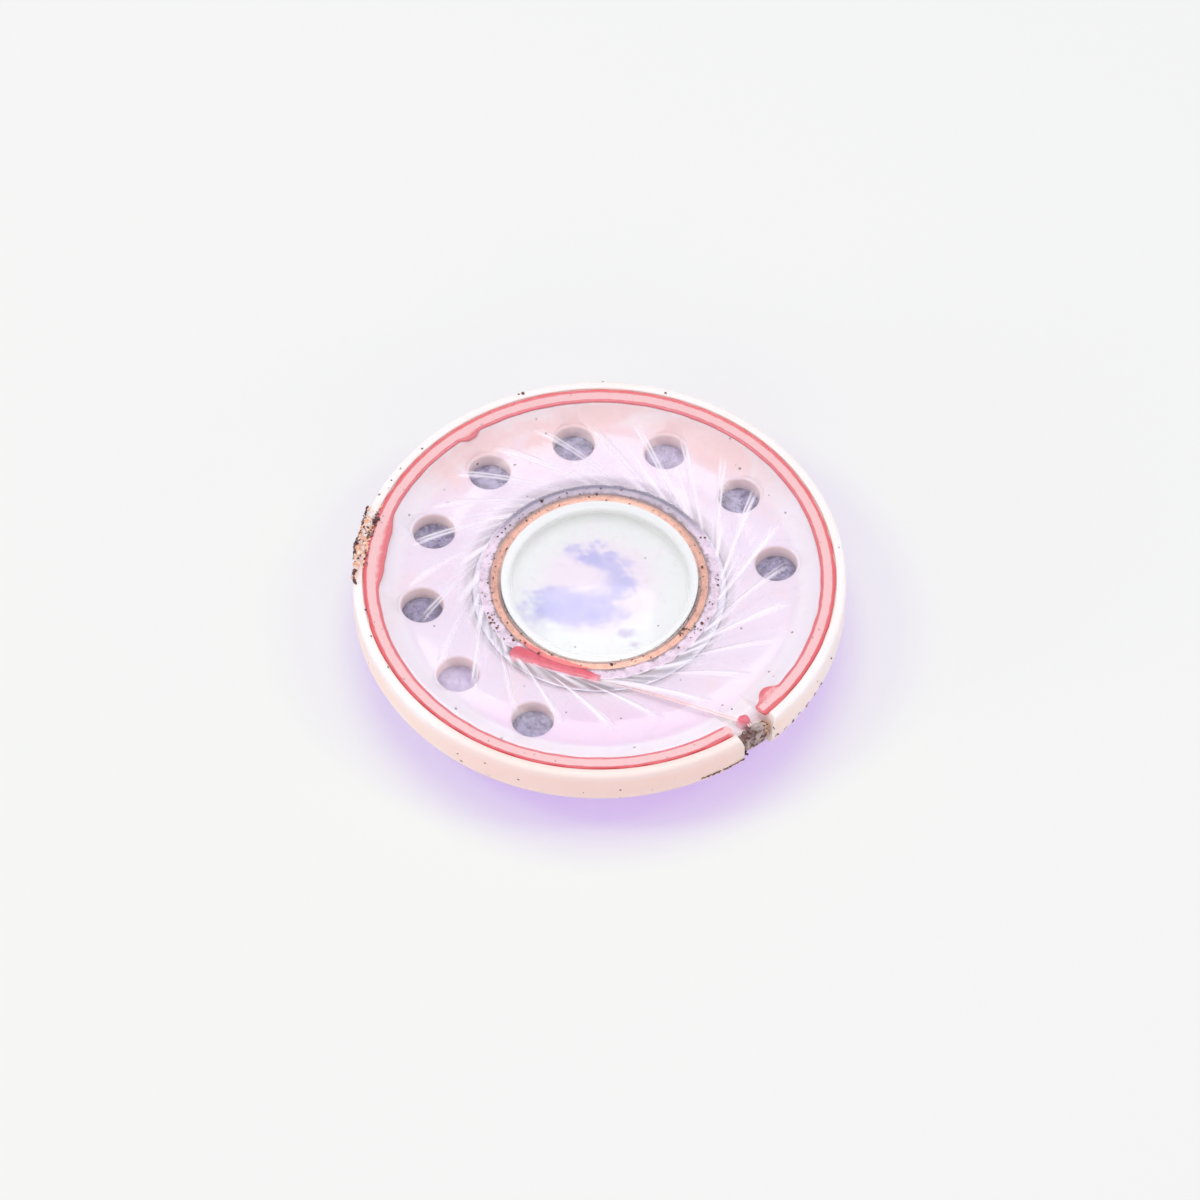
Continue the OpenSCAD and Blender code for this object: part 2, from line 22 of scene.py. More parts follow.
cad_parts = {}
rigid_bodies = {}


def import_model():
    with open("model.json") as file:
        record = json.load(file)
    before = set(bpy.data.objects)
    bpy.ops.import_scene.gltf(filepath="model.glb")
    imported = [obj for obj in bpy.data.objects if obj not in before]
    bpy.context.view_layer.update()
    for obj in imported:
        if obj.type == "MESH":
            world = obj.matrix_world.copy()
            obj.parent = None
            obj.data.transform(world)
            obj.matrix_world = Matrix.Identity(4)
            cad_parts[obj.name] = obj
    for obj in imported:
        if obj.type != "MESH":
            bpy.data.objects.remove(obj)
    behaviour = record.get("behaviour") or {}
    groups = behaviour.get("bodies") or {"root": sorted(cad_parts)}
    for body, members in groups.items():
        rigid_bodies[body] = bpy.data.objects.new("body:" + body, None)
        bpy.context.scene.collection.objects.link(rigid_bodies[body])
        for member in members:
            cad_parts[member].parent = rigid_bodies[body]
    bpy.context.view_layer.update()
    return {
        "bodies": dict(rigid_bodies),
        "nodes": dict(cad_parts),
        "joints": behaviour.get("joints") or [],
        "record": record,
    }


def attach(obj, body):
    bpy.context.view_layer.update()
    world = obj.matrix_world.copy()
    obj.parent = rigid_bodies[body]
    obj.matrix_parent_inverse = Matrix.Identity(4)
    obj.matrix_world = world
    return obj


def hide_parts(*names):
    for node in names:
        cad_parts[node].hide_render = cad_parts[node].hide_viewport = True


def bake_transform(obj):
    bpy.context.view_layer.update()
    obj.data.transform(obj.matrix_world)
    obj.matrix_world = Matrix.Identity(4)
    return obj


log = logging.getLogger("driver")

MM = 0.001
FULL_TURN = 2 * math.pi
NOTCH_ANGLE = 270.0
VIEW_TURN = 38.3

Array = np.ndarray
Colour = tuple[float, float, float, float]
Object = bpy.types.Object
Socket = bpy.types.NodeSocket


class Body(Enum):
    """Bodies of the frame that pieces ride on."""

    CHASSIS = "chassis"
    COIL = "moving_coil"


class Slot(Enum):
    """Material slots of the record."""

    BASKET = "basket_plastic"
    YOKE = "yoke_steel"
    PLATE = "plate_steel"
    MAGNET = "magnet_plating"
    AMBER = "amber_adhesive"
    SEAM = "seam_adhesive"
    RED = "red_adhesive"
    FILM = "diaphragm_film"
    COIL = "coil_copper"
    LEAD = "lead_copper"
    SEALANT = "aged_sealant"
    BOARD = "board_laminate"
    PAD = "pad_copper"
    SOLDER = "solder"
    PAPER = "damping_paper"


@dataclass(frozen=True)
class Levels:
    """Heights and radii of the frame that several pieces share, in millimetres."""

    floor_z: float = 5.6
    floor_back_z: float = 4.4
    land_z: float = 6.3
    ridge_z: float = 6.42
    film_rest_z: float = 6.46
    rim_top_z: float = 6.6
    rim_back_z: float = 3.6
    seam_z: float = 5.9
    coil_z: float = 3.5
    yoke_h: float = 5.0
    plate_z: float = 4.45
    plate_top_z: float = 5.45
    collar_z: float = 2.0
    board_z: float = 3.65
    rim_r: float = 18.0
    land_out_r: float = 17.3
    ridge_out_r: float = 16.9
    ridge_in_r: float = 16.4
    land_in_r: float = 16.0
    floor_r: float = 14.4
    recess_r: float = 16.4
    notch_r: float = 16.95
    coil_in_r: float = 7.26
    coil_out_r: float = 7.95
    plate_r: float = 7.0
    yoke_in_r: float = 8.35
    yoke_r: float = 9.3
    surround_in_r: float = 8.9
    tangent_r: float = 8.15
    film_out_r: float = 17.1
    vent_circle_r: float = 13.065
    slot_half_w: float = 1.3
    slot_shift: float = 0.45
    ridge_r: float = 16.65
    lead_offset: float = 0.4
    joint_r: float = 13.5

    @property
    def line_turn(self) -> float:
        """Angle at which the leads' line touches the coil's circle, in radians."""
        start = math.radians(NOTCH_ANGLE) + math.asin(self.lead_offset / self.ridge_r)
        return start - math.acos(self.tangent_r / self.ridge_r)

    def line_axes(self, x: Array, y: Array) -> tuple[Array, Array]:
        """Places counted from the axis outwards, square to the leads' line, and along it."""
        cos, sin = math.cos(self.line_turn), math.sin(self.line_turn)
        return x * cos + y * sin, y * cos - x * sin


LEVELS = Levels()


# Number work


def smooth(value: Array, low: float, high: float) -> Array:
    """Smooth step, 0 below low, 1 above high and 3t^2 - 2t^3 between; low may be the larger."""
    t = np.clip((np.asarray(value, float) - low) / (high - low), 0, 1)
    return t * t * (3 - 2 * t)


def soft_max(a: Array, b: Array | float, blur: float) -> Array:
    """Larger of two heights with a rounded corner: (a + b + sqrt((a - b)^2 + blur^2)) / 2."""
    return 0.5 * (a + b + np.sqrt((a - b) ** 2 + blur * blur))


def power(value: Array, exponent: float) -> Array:
    """Signed power: sgn(v) |v|^exponent."""
    return np.sign(value) * np.abs(value) ** exponent


def ripple(turn: Array, seed: int, low: int, high: int, drift: Array | float = 0.0) -> Array:
    """Even waviness round the axis: a sum of cosines of whole orders with seeded phases.

    Args:
        turn: Angles round the axis, in radians.
        seed: Seed of the phases.
        low: Lowest order.
        high: Highest order.
        drift: Extra phase of each point, so that the waves change across a surface.

    Returns:
        Heights with a spread of about 1, in the shape of turn.
    """
    draws = np.random.default_rng(seed)
    orders = np.arange(low, high + 1)
    phases = draws.uniform(0, FULL_TURN, orders.size)
    rates = draws.uniform(-1, 1, orders.size)
    angles = np.multiply.outer(turn, orders) + phases + np.multiply.outer(np.asarray(drift, float), rates)
    return np.cos(angles).sum(axis=-1) * math.sqrt(2 / orders.size)


def lumps(points: Array, seed: int, size: float, count: int = 24) -> Array:
    """Solid noise: a sum of cosines along seeded directions, of wavelengths about size.

    Args:
        points: Places, with X, Y and Z last.
        seed: Seed of the directions and phases.
        size: Middle wavelength.
        count: Number of waves.

    Returns:
        Heights with a spread of about 1.
    """
    draws = np.random.default_rng(seed)
    ways = draws.normal(size=(count, 3))
    ways *= (FULL_TURN / size * draws.uniform(0.6, 1.6, count) / np.linalg.norm(ways, axis=1))[:, None]
    return np.cos(points @ ways.T + draws.uniform(0, FULL_TURN, count)).sum(axis=-1) * math.sqrt(2 / count)


def angle_gap(turn: Array, middle: float) -> Array:
    """Distance of angles in radians from a row angle, in degrees from 0 to 180."""
    return np.abs((np.degrees(turn) - middle + 180) % 360 - 180)


def polar(r: Array, turn: Array, z: Array | float) -> Array:
    """Points (r cos a, r sin a, z), with X, Y and Z last."""
    return np.stack(np.broadcast_arrays(r * np.cos(turn), r * np.sin(turn), z), axis=-1)


def at(row_angle: float, radius: float, height: float) -> Array:
    """Point at a row angle, a radius and a height."""
    turn = math.radians(row_angle)
    return np.array([radius * math.cos(turn), radius * math.sin(turn), height])


def around(columns: int) -> Array:
    """Evenly spaced angles of a whole turn, in radians."""
    return np.arange(columns) * FULL_TURN / columns


# Surfaces


@dataclass
class Shell:
    """Surface in the making: points in millimetres, its faces, and named values per point."""

    points: Array
    quads: Array = field(default_factory=lambda: np.zeros((0, 4), int))
    triangles: Array = field(default_factory=lambda: np.zeros((0, 3), int))
    values: dict[str, Array] = field(default_factory=dict)
    caps: list[Array] = field(default_factory=list)

    def volume(self) -> float:
        """Signed volume: a sixth of the sum of a . (b x c) over all triangles.

        Returns:
            Cubic millimetres, below zero when the faces look inwards.
        """
        fans = [np.stack([np.full(len(c) - 2, c[0]), c[1:-1], c[2:]], axis=1) for c in self.caps]
        split = np.concatenate([self.quads[:, [0, 1, 2]], self.quads[:, [0, 2, 3]], self.triangles, *fans])
        a, b, c = (self.points[split[:, k]] for k in range(3))
        return float(np.einsum("ij,ij->i", a, np.cross(b, c)).sum() / 6)

    def outward(self) -> Shell:
        """Same shell with its faces turned outwards.

        Returns:
            This shell.
        """
        if self.volume() < 0:
            self.quads, self.triangles = self.quads[:, ::-1], self.triangles[:, ::-1]
            self.caps = [cap[::-1] for cap in self.caps]
        return self

    def mesh(self, name: str) -> bpy.types.Mesh:
        """Mesh of that name in metres, with the values as attributes of its points.

        Args:
            name: Name of the mesh.

        Returns:
            The mesh.
        """
        made = bpy.data.meshes.new(name)
        faces = self.quads.tolist() + self.triangles.tolist() + [cap.tolist() for cap in self.caps]
        made.from_pydata((self.points * MM).tolist(), [], faces)
        for label, value in self.values.items():
            made.attributes.new(label, "FLOAT", "POINT").data.foreach_set("value", value.astype(np.float32))
        return made


def grid_quads(rows: int, columns: int, wrap_rows: bool) -> Array:
    """Faces of a grid of points stored row by row, whose rows close on themselves.

    Args:
        rows: Number of rows.
        columns: Points in a row.
        wrap_rows: Whether the last row joins the first.

    Returns:
        Point numbers of each face, four to a face.
    """
    i = np.arange(rows if wrap_rows else rows - 1)[:, None]
    j = np.arange(columns)[None, :]
    down, right = (i + 1) % rows, (j + 1) % columns
    corners = (i * columns + j, i * columns + right, down * columns + right, down * columns + j)
    return np.stack(np.broadcast_arrays(*corners), axis=-1).reshape(-1, 4)


def looped(points: Array) -> Shell:
    """Ring-like closed shell from a grid that closes both ways, rows by columns by 3."""
    return Shell(points.reshape(-1, 3), grid_quads(*points.shape[:2], True)).outward()


def capped(points: Array, values: dict[str, Array] | None = None) -> Shell:
    """Ball-like shell from a grid whose rows close on themselves, with a pole at each end.

    Args:
        points: Grid of points, rows by columns by 3; the poles are the means of the end rows.
        values: Named values on the same grid.

    Returns:
        The closed shell.
    """
    rows, columns = points.shape[:2]
    poles = np.stack([points[0].mean(axis=0), points[-1].mean(axis=0)])
    first, last = np.arange(columns), (rows - 1) * columns + np.arange(columns)
    pole = rows * columns
    fans = np.concatenate([
        np.stack([np.roll(first, -1), first, np.full(columns, pole)], axis=1),
        np.stack([last, np.roll(last, -1), np.full(columns, pole + 1)], axis=1),
    ])
    flat = {}
    for name, value in (values or {}).items():
        grid = np.broadcast_to(value, (rows, columns))
        flat[name] = np.append(grid.reshape(-1), [grid[0].mean(), grid[-1].mean()])
    body = np.concatenate([points.reshape(-1, 3), poles])
    return Shell(body, grid_quads(rows, columns, False), fans, flat).outward()


def merged(shells: list[Shell]) -> Shell:
    """One shell that holds several without values.

    Args:
        shells: The shells, which carry no values.

    Returns:
        The one shell.
    """
    starts = np.cumsum([0] + [len(s.points) for s in shells[:-1]])
    return Shell(
        np.concatenate([s.points for s in shells]),
        np.concatenate([s.quads + start for s, start in zip(shells, starts)]),
        np.concatenate([s.triangles + start for s, start in zip(shells, starts)]),
        caps=[cap + start for s, start in zip(shells, starts) for cap in s.caps],
    )


def rounded(corners: list[tuple[float, float, float]], closed: bool = True, steps: int = 4) -> Array:
    """Section whose corners are rounded by quadratic curves.

    A corner C with rounding t becomes (1 - s)^2 A + 2 s (1 - s) C + s^2 B, where A and B lie t from C on
    its two sides, and t is at most 0.45 of a side.

    Args:
        corners: Radius, height and rounding of each corner in order.
        closed: Whether the last corner joins the first.
        steps: Pieces of each curve.

    Returns:
        Points of the section, radius and height.
    """
    spots = np.array(corners, float)
    here, size = spots[:, :2], spots[:, 2]
    before, after = np.roll(here, 1, axis=0) - here, np.roll(here, -1, axis=0) - here
    reach_b, reach_a = np.linalg.norm(before, axis=1), np.linalg.norm(after, axis=1)
    t = np.minimum(size, 0.45 * np.minimum(reach_b, reach_a))
    if not closed:
        t[0] = t[-1] = 0
    a = here + before * (t / reach_b)[:, None]
    b = here + after * (t / reach_a)[:, None]
    out = []
    for k in range(len(here)):
        s = np.linspace(0, 1, steps + 1)[:, None] if t[k] > 0 else np.zeros((1, 1))
        out.append((1 - s) ** 2 * a[k] + 2 * s * (1 - s) * here[k] + s * s * b[k])
    return np.concatenate(out)


def turned_grid(section: Array, turn: Array, grow: Array | float = 0.0, lift: Array | float = 0.0) -> Array:
    """Section of radii and heights carried round the axis: ((r + grow) cos a, (r + grow) sin a, z + lift)."""
    return polar(section[:, :1] + grow, turn, section[:, 1:2] + lift)


def slab(outline: Array, low: float, high: float, bevel: float) -> Shell:
    """Plate with an outline seen from above and bevelled edges.

    Each side wall is four rings: the outline moved in by the bevel at the bottom and top, and the outline
    itself one bevel away from them. A point moves along its mitred inward normal.

    Args:
        outline: X and Y of the outline, anticlockwise.
        low: Height of the underside.
        high: Height of the top.
        bevel: Size of the bevel.

    Returns:
        The closed shell, with a face of many corners at each end.
    """
    ahead = np.roll(outline, -1, axis=0) - outline
    ahead /= np.linalg.norm(ahead, axis=1)[:, None]
    both = ahead + np.roll(ahead, 1, axis=0)
    normal = np.stack([-ahead[:, 1], ahead[:, 0]], axis=1)
    inward = np.stack([-both[:, 1], both[:, 0]], axis=1)
    inward /= np.maximum(np.einsum("ij,ij->i", inward, normal), 0.3)[:, None]
    inset = outline + inward * bevel
    rings = [(inset, low), (outline, low + bevel), (outline, high - bevel), (inset, high)]
    points = np.concatenate([np.column_stack([ring, np.full(len(ring), z)]) for ring, z in rings])
    count = len(outline)
    ends = [np.arange(count)[::-1], 3 * count + np.arange(count)]
    return Shell(points, grid_quads(4, count, False), caps=ends).outward()


def sector(in_r: float, out_r: float, middle: float, span: float, steps: int) -> Array:
    """Outline of a part of a flat ring, anticlockwise: out along the outer arc and back along the inner.

    Args:
        in_r: Inner radius.
        out_r: Outer radius.
        middle: Row angle of its middle, in degrees.
        span: Angle that it spans, in degrees.
        steps: Number of points on each arc.

    Returns:
        Points with X and Y.
    """
    turn = np.radians(middle + np.linspace(-span / 2, span / 2, steps))
    arc = np.stack([np.cos(turn), np.sin(turn)], axis=1)
    return np.concatenate([arc * out_r, arc[::-1] * in_r])


def tube(route: Array, radius: float, sides: int) -> Shell:
    """Round wire along a route: centre + radius (cos a . side + sin a . other), square to the route.

    Args:
        route: Points of the middle line, no part of which runs along X alone.
        radius: Radius of the wire.
        sides: Points round the wire.

    Returns:
        The closed shell.
    """
    along = np.gradient(route, axis=0)
    along /= np.linalg.norm(along, axis=1)[:, None]
    side = np.cross([1.0, 0.0, 0.0], along)
    side /= np.linalg.norm(side, axis=1)[:, None]
    other = np.cross(along, side)
    turn = around(sides)[None, :, None]
    return capped(route[:, None] + radius * (np.cos(turn) * side[:, None] + np.sin(turn) * other[:, None]))


def resampled(route: Array, step: float) -> Array:
    """Smooth route through points: a Catmull-Rom curve, read at even steps of its length.

    Between points P1 and P2 the curve is (2 P1 + (P2 - P0) t + (2 P0 - 5 P1 + 4 P2 - P3) t^2 +
    (3 P1 - P0 - 3 P2 + P3) t^3) / 2.

    Args:
        route: Points that the curve passes.
        step: Distance between the points given back.

    Returns:
        Points along the curve.
    """
    ends = np.concatenate([[2 * route[0] - route[1]], route, [2 * route[-1] - route[-2]]])
    p0, p1, p2, p3 = (ends[k:len(ends) - 3 + k, None] for k in range(4))
    t = np.linspace(0, 1, 12, endpoint=False)[None, :, None]
    square, cube = 2 * p0 - 5 * p1 + 4 * p2 - p3, 3 * p1 - p0 - 3 * p2 + p3
    curve = (2 * p1 + (p2 - p0) * t + square * t**2 + cube * t**3) / 2
    curve = np.concatenate([curve.reshape(-1, 3), route[-1:]])
    length = np.append(0, np.cumsum(np.linalg.norm(np.diff(curve, axis=0), axis=1)))
    marks = np.linspace(0, length[-1], max(8, int(length[-1] / step)))
    return np.stack([np.interp(marks, length, curve[:, k]) for k in range(3)], axis=1)


def crumbs(middles: Array, sizes: Array, seed: int, flat: float, rough: float) -> Shell:
    """Many small lumps in one shell: balls of 5 by 8 points whose radius is size (1 + rough . noise).

    Args:
        middles: Middle of each lump.
        sizes: Radius of each lump.
        seed: Seed of their shapes.
        flat: Height of a lump as a share of its width.
        rough: How uneven a lump is.

    Returns:
        The closed shells as one.
    """
    draws = np.random.default_rng(seed)
    up = np.radians(np.linspace(62, -62, 5))[None, :, None]
    turn = around(8)[None, None, :] + draws.uniform(0, FULL_TURN, (len(middles), 1, 1))
    way = polar(np.cos(up), turn, np.sin(up))
    stretch = draws.uniform(0.7, 1.3, (len(middles), 1, 1, 3)) * np.array([1, 1, flat])
    grain = 1 + rough * draws.normal(size=way.shape[:3])[..., None]
    grid = middles[:, None, None] + sizes[:, None, None, None] * way * stretch * grain
    return merged([capped(lump) for lump in grid])


# Pieces


def new_piece(
    name: str, shell: Shell, finish: Finish, replaces: tuple[str, ...] = (), body: Body | None = Body.CHASSIS,
    sharp: float = 38.0,
) -> Object:
    """Makes an object from a shell, dresses it and hangs it on its body.

    Args:
        name: Name of the piece.
        shell: Its surface, in millimetres.
        finish: Its material.
        replaces: CAD nodes that it stands for.
        body: Body that it rides on, or None to leave it on no body.
        sharp: Angle in degrees from which an edge stays sharp.

    Returns:
        The object.
    """
    made = bpy.data.objects.new(name, shell.mesh(name))
    made.data.shade_smooth()
    made.data.set_sharp_from_angle(angle=math.radians(sharp))
    bpy.context.scene.collection.objects.link(made)
    made.data.materials.append(finish.material())
    if body is not None:
        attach(made, body.value)
    if replaces:
        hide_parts(*replaces)
    log.info("%s: %d points, on %s", name, len(shell.points), body.value if body else "both bodies")
    return made


def bend(piece: Object) -> None:
    """Bakes the piece's transform into its mesh; it does not bend it between chassis and coil."""
    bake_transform(piece)


def cut(target: Object, cutter: Shell, name: str) -> None:
    """Cuts a shell out of a piece and applies it.

    Args:
        target: The piece.
        cutter: Closed shell to take away, in millimetres.
        name: Name of the cutter while it exists.
    """
    tool = bpy.data.objects.new(name, cutter.mesh(name))
    bpy.context.scene.collection.objects.link(tool)
    step = target.modifiers.new(name, "BOOLEAN")
    step.object, step.operation, step.solver = tool, "DIFFERENCE", "EXACT"
    graph = bpy.context.evaluated_depsgraph_get()
    result = bpy.data.meshes.new_from_object(target.evaluated_get(graph))
    target.modifiers.remove(step)
    old, target.data = target.data, result
    spent = tool.data
    bpy.data.objects.remove(tool)
    bpy.data.meshes.remove(spent)
    bpy.data.meshes.remove(old)


def dress_node(frame: dict[str, dict], node: str, finish: Finish) -> None:
    """Gives a CAD node that stays its finish.

    Args:
        node: Name of the node.
        finish: Its material.
    """
    made = frame["nodes"][node]
    made.data.materials.clear()
    made.data.materials.append(finish.material())
    log.info("%s: CAD node, dressed", node)


# Finishes


def tone(red: int, green: int, blue: int) -> Colour:
    """Colour as a shader takes it, from its amounts on a screen from 0 to 255.

    Args:
        red: Amount of red.
        green: Amount of green.
        blue: Amount of blue.

    Returns:
        Linear colour with full alpha.
    """
    screen = np.array([red, green, blue]) / 255
    plain = np.where(screen <= 0.04045, screen / 12.92, ((screen + 0.055) / 1.055) ** 2.4)
    return (*(float(c) for c in plain), 1.0)


class Wire:
    """Output of a node. Work on it adds nodes to its tree and gives the last one's output."""

    def __init__(self, tree: Tree, socket: Socket) -> None:
        """Notes the tree and the output."""
        self.tree, self.socket = tree, socket

    def math(self, kind: str, other: Value = 0.0) -> Wire:
        """One operation with a number or another output."""
        return self.tree.out("Math", {0: self, 1: other}, operation=kind)

    def __add__(self, other: Value) -> Wire:
        """Sum."""
        return self.math("ADD", other)

    def __sub__(self, other: Value) -> Wire:
        """Difference."""
        return self.math("SUBTRACT", other)

    def __mul__(self, other: Value) -> Wire:
        """Product."""
        return self.math("MULTIPLY", other)

    def __or__(self, other: Value) -> Wire:
        """Larger of the two."""
        return self.math("MAXIMUM", other)

    def __lt__(self, limit: float) -> Wire:
        """1 below a limit and 0 above it."""
        return self.math("LESS_THAN", limit)

    def __abs__(self) -> Wire:
        """Amount without its sign."""
        return self.math("ABSOLUTE")

    def __invert__(self) -> Wire:
        """What is left of 1."""
        return self.tree.out("Math", {0: 1.0, 1: self}, operation="SUBTRACT")

    def fade(self, low: float, high: float, start: float = 0.0, end: float = 1.0) -> Wire:
        """Smooth step from start at low to end at high, where low may be the larger.

        Args:
            low: Input at which the step starts.
            high: Input at which it ends.
            start: Output at low.
            end: Output at high.

        Returns:
            The step's output.
        """
        if low > high:
            low, high, start, end = high, low, end, start
        inputs = {"Value": self, "From Min": low, "From Max": high, "To Min": start, "To Max": end}
        return self.tree.out("MapRange", inputs, interpolation_type="SMOOTHSTEP")

    def spread(self, start: float, end: float) -> Wire:
        """Soft noise, most of which lies between 0.3 and 0.7, laid out from start to end."""
        return self.fade(0.3, 0.7, start, end)

    def band(self, low: float, rise: float, fall: float, high: float) -> Wire:
        """1 between rise and fall, 0 below low and above high."""
        return self.fade(low, rise) * self.fade(high, fall)

    def mix(self, base: Value, tint: Value) -> Wire:
        """Colour base with this share of a tint."""
        return self.tree.out("Mix", {0: self, 6: base, 7: tint}, 2, data_type="RGBA", blend_type="MIX")

    def noise(self, scale: float, detail: float = 3.0, rough: float = 0.55, bent: float = 0.0) -> Wire:
        """Soft noise from 0 to 1 at these coordinates, with scale waves in a millimetre."""
        inputs = {"Vector": self, "Scale": scale, "Detail": detail, "Roughness": rough, "Distortion": bent}
        return self.tree.out("TexNoise", inputs, "Fac")

    def specks(self, scale: float, size: float, share: float) -> Wire:
        """Round specks at these coordinates.

        Args:
            scale: Cells in a millimetre.
            size: Radius of a dot as a share of a cell.
            share: Share of the cells that hold one.

        Returns:
            1 in a dot and 0 outside.
        """
        cell = self.tree.node("TexVoronoi", {"Vector": self, "Scale": scale}).outputs
        pick = self.tree.out("SeparateColor", {"Color": cell["Color"]})
        return Wire(self.tree, cell["Distance"]).fade(size, size * 0.6) * (pick < share)

    def axes(self) -> tuple[Wire, Wire, Wire]:
        """X, Y and Z of these coordinates."""
        x, y, z = (Wire(self.tree, one) for one in self.tree.node("SeparateXYZ", {0: self}).outputs)
        return x, y, z

    def length(self) -> Wire:
        """Distance from the origin of these coordinates."""
        return self.tree.out("VectorMath", {0: self}, "Value", operation="LENGTH")

    def reach(self) -> Wire:
        """Distance from the Z axis."""
        x, y, _ = self.axes()
        return self.tree.out("CombineXYZ", {0: x, 1: y}).length()

    def bump(self, depth: float) -> Wire:
        """Bumped normal from this height from 0 to 1, which stands for depth millimetres."""
        return self.tree.out("Bump", {"Height": self, "Distance": depth * MM, "Strength": 1.0})


Value = float | tuple[float, ...] | Socket | Wire


class Tree:
    """Node tree of a material or the world, written with short calls."""

    def __init__(self, tree: bpy.types.NodeTree) -> None:
        """Empties the tree."""
        self.tree = tree
        self.tree.nodes.clear()

    def node(
        self, kind: str, inputs: dict[str | int, Value] | None = None, **settings: object,
    ) -> bpy.types.Node:
        """Adds a node.

        Args:
            kind: Its type, without the word ShaderNode in front.
            inputs: What goes into each input, a constant or another node's output.
            settings: Its properties.

        Returns:
            The node.
        """
        made = self.tree.nodes.new("ShaderNode" + kind)
        for key, value in settings.items():
            setattr(made, key, value)
        for key, value in (inputs or {}).items():
            value = value.socket if isinstance(value, Wire) else value
            if isinstance(value, Socket):
                self.tree.links.new(value, made.inputs[key])
            else:
                made.inputs[key].default_value = value
        return made

    def out(
        self, kind: str, inputs: dict[str | int, Value] | None = None, key: str | int = 0, **settings: object,
    ) -> Wire:
        """Adds a node as node() does, and gives the output of that key."""
        return Wire(self, self.node(kind, inputs, **settings).outputs[key])

    def here(
        self, stretch: tuple[float, float, float] = (1, 1, 1), turn: float = 0.0,
        middle: tuple[float, float, float] | Array = (0, 0, 0),
    ) -> Wire:
        """Object coordinates in millimetres, centred on a point, turned and stretched.

        Args:
            stretch: Factor on each axis, after the turn.
            turn: Turn round Z in degrees, anticlockwise.
            middle: Point in millimetres that becomes the origin.

        Returns:
            The coordinates.
        """
        where = self.out("TexCoord", key="Object")
        moved = self.out("Mapping", {"Vector": where, "Location": tuple(-m * MM for m in middle)})
        spun = self.out("Mapping", {"Vector": moved, "Rotation": (0.0, 0.0, math.radians(turn))})
        return self.out("Mapping", {"Vector": spun, "Scale": tuple(s / MM for s in stretch)})

    def seen(self) -> tuple[Wire, Wire]:
        """Millimetres to the right of the axis and behind it, as the photograph shows them."""
        right, back, _ = self.here(turn=VIEW_TURN).axes()
        return right, back

    def value(self, name: str) -> Wire:
        """Value that the piece's mesh carries at each point."""
        return self.out("Attribute", key="Fac", attribute_name=name)

    def clear(self, colour: Value) -> Wire:
        """Shader that lets light through, tinted."""
        return self.out("BsdfTransparent", {"Color": colour})

    def either(self, share: Value, one: Wire, other: Wire) -> Wire:
        """Shader with this share of the other one."""
        return self.out("MixShader", {0: share, 1: one, 2: other})

    def principled(self, colour: Value, rough: Value, **inputs: Value) -> Wire:
        """Principled shader, with more inputs by their names with _ for a space.

        Args:
            colour: Its base colour.
            rough: Its roughness.
            inputs: Values of the other inputs.

        Returns:
            The shader.
        """
        sockets = {"Base Color": colour, "Roughness": rough}
        sockets.update({key.replace("_", " "): value for key, value in inputs.items()})
        return self.out("BsdfPrincipled", sockets)

    def glue(
        self, colour: Value, rough: float, normal: Wire, depth: tuple[float, ...], coat: tuple[float, float],
    ) -> Wire:
        """Glossy shader that light enters by 0.4 mm.

        Args:
            colour: Its colour.
            rough: Its roughness.
            normal: Its bumped normal.
            depth: Share of the light that enters, and how far red, green and blue go.
            coat: Amount and roughness of its skin.

        Returns:
            The shader.
        """
        return self.principled(
            colour, rough, Normal=normal, Subsurface_Weight=depth[0], Subsurface_Radius=depth[1:],
            Subsurface_Scale=0.4 * MM, Coat_Weight=coat[0], Coat_Roughness=coat[1],
        )


@dataclass(frozen=True)
class Finish(ABC):
    """One finish, which stands for one slot of the record. It makes its material once."""

    slot: ClassVar[Slot]
    name: str

    def material(self) -> bpy.types.Material:
        """Material of this finish.

        Returns:
            The material, the same one each time.
        """
        found = bpy.data.materials.get(self.name)
        if found:
            return found
        made = bpy.data.materials.new(self.name)
        made.use_nodes = True
        tree = Tree(made.node_tree)
        tree.node("OutputMaterial", {"Surface": self.shade(tree)})
        return made

    @abstractmethod
    def shade(self, tree: Tree) -> Wire:
        """Builds the nodes and gives the shader."""


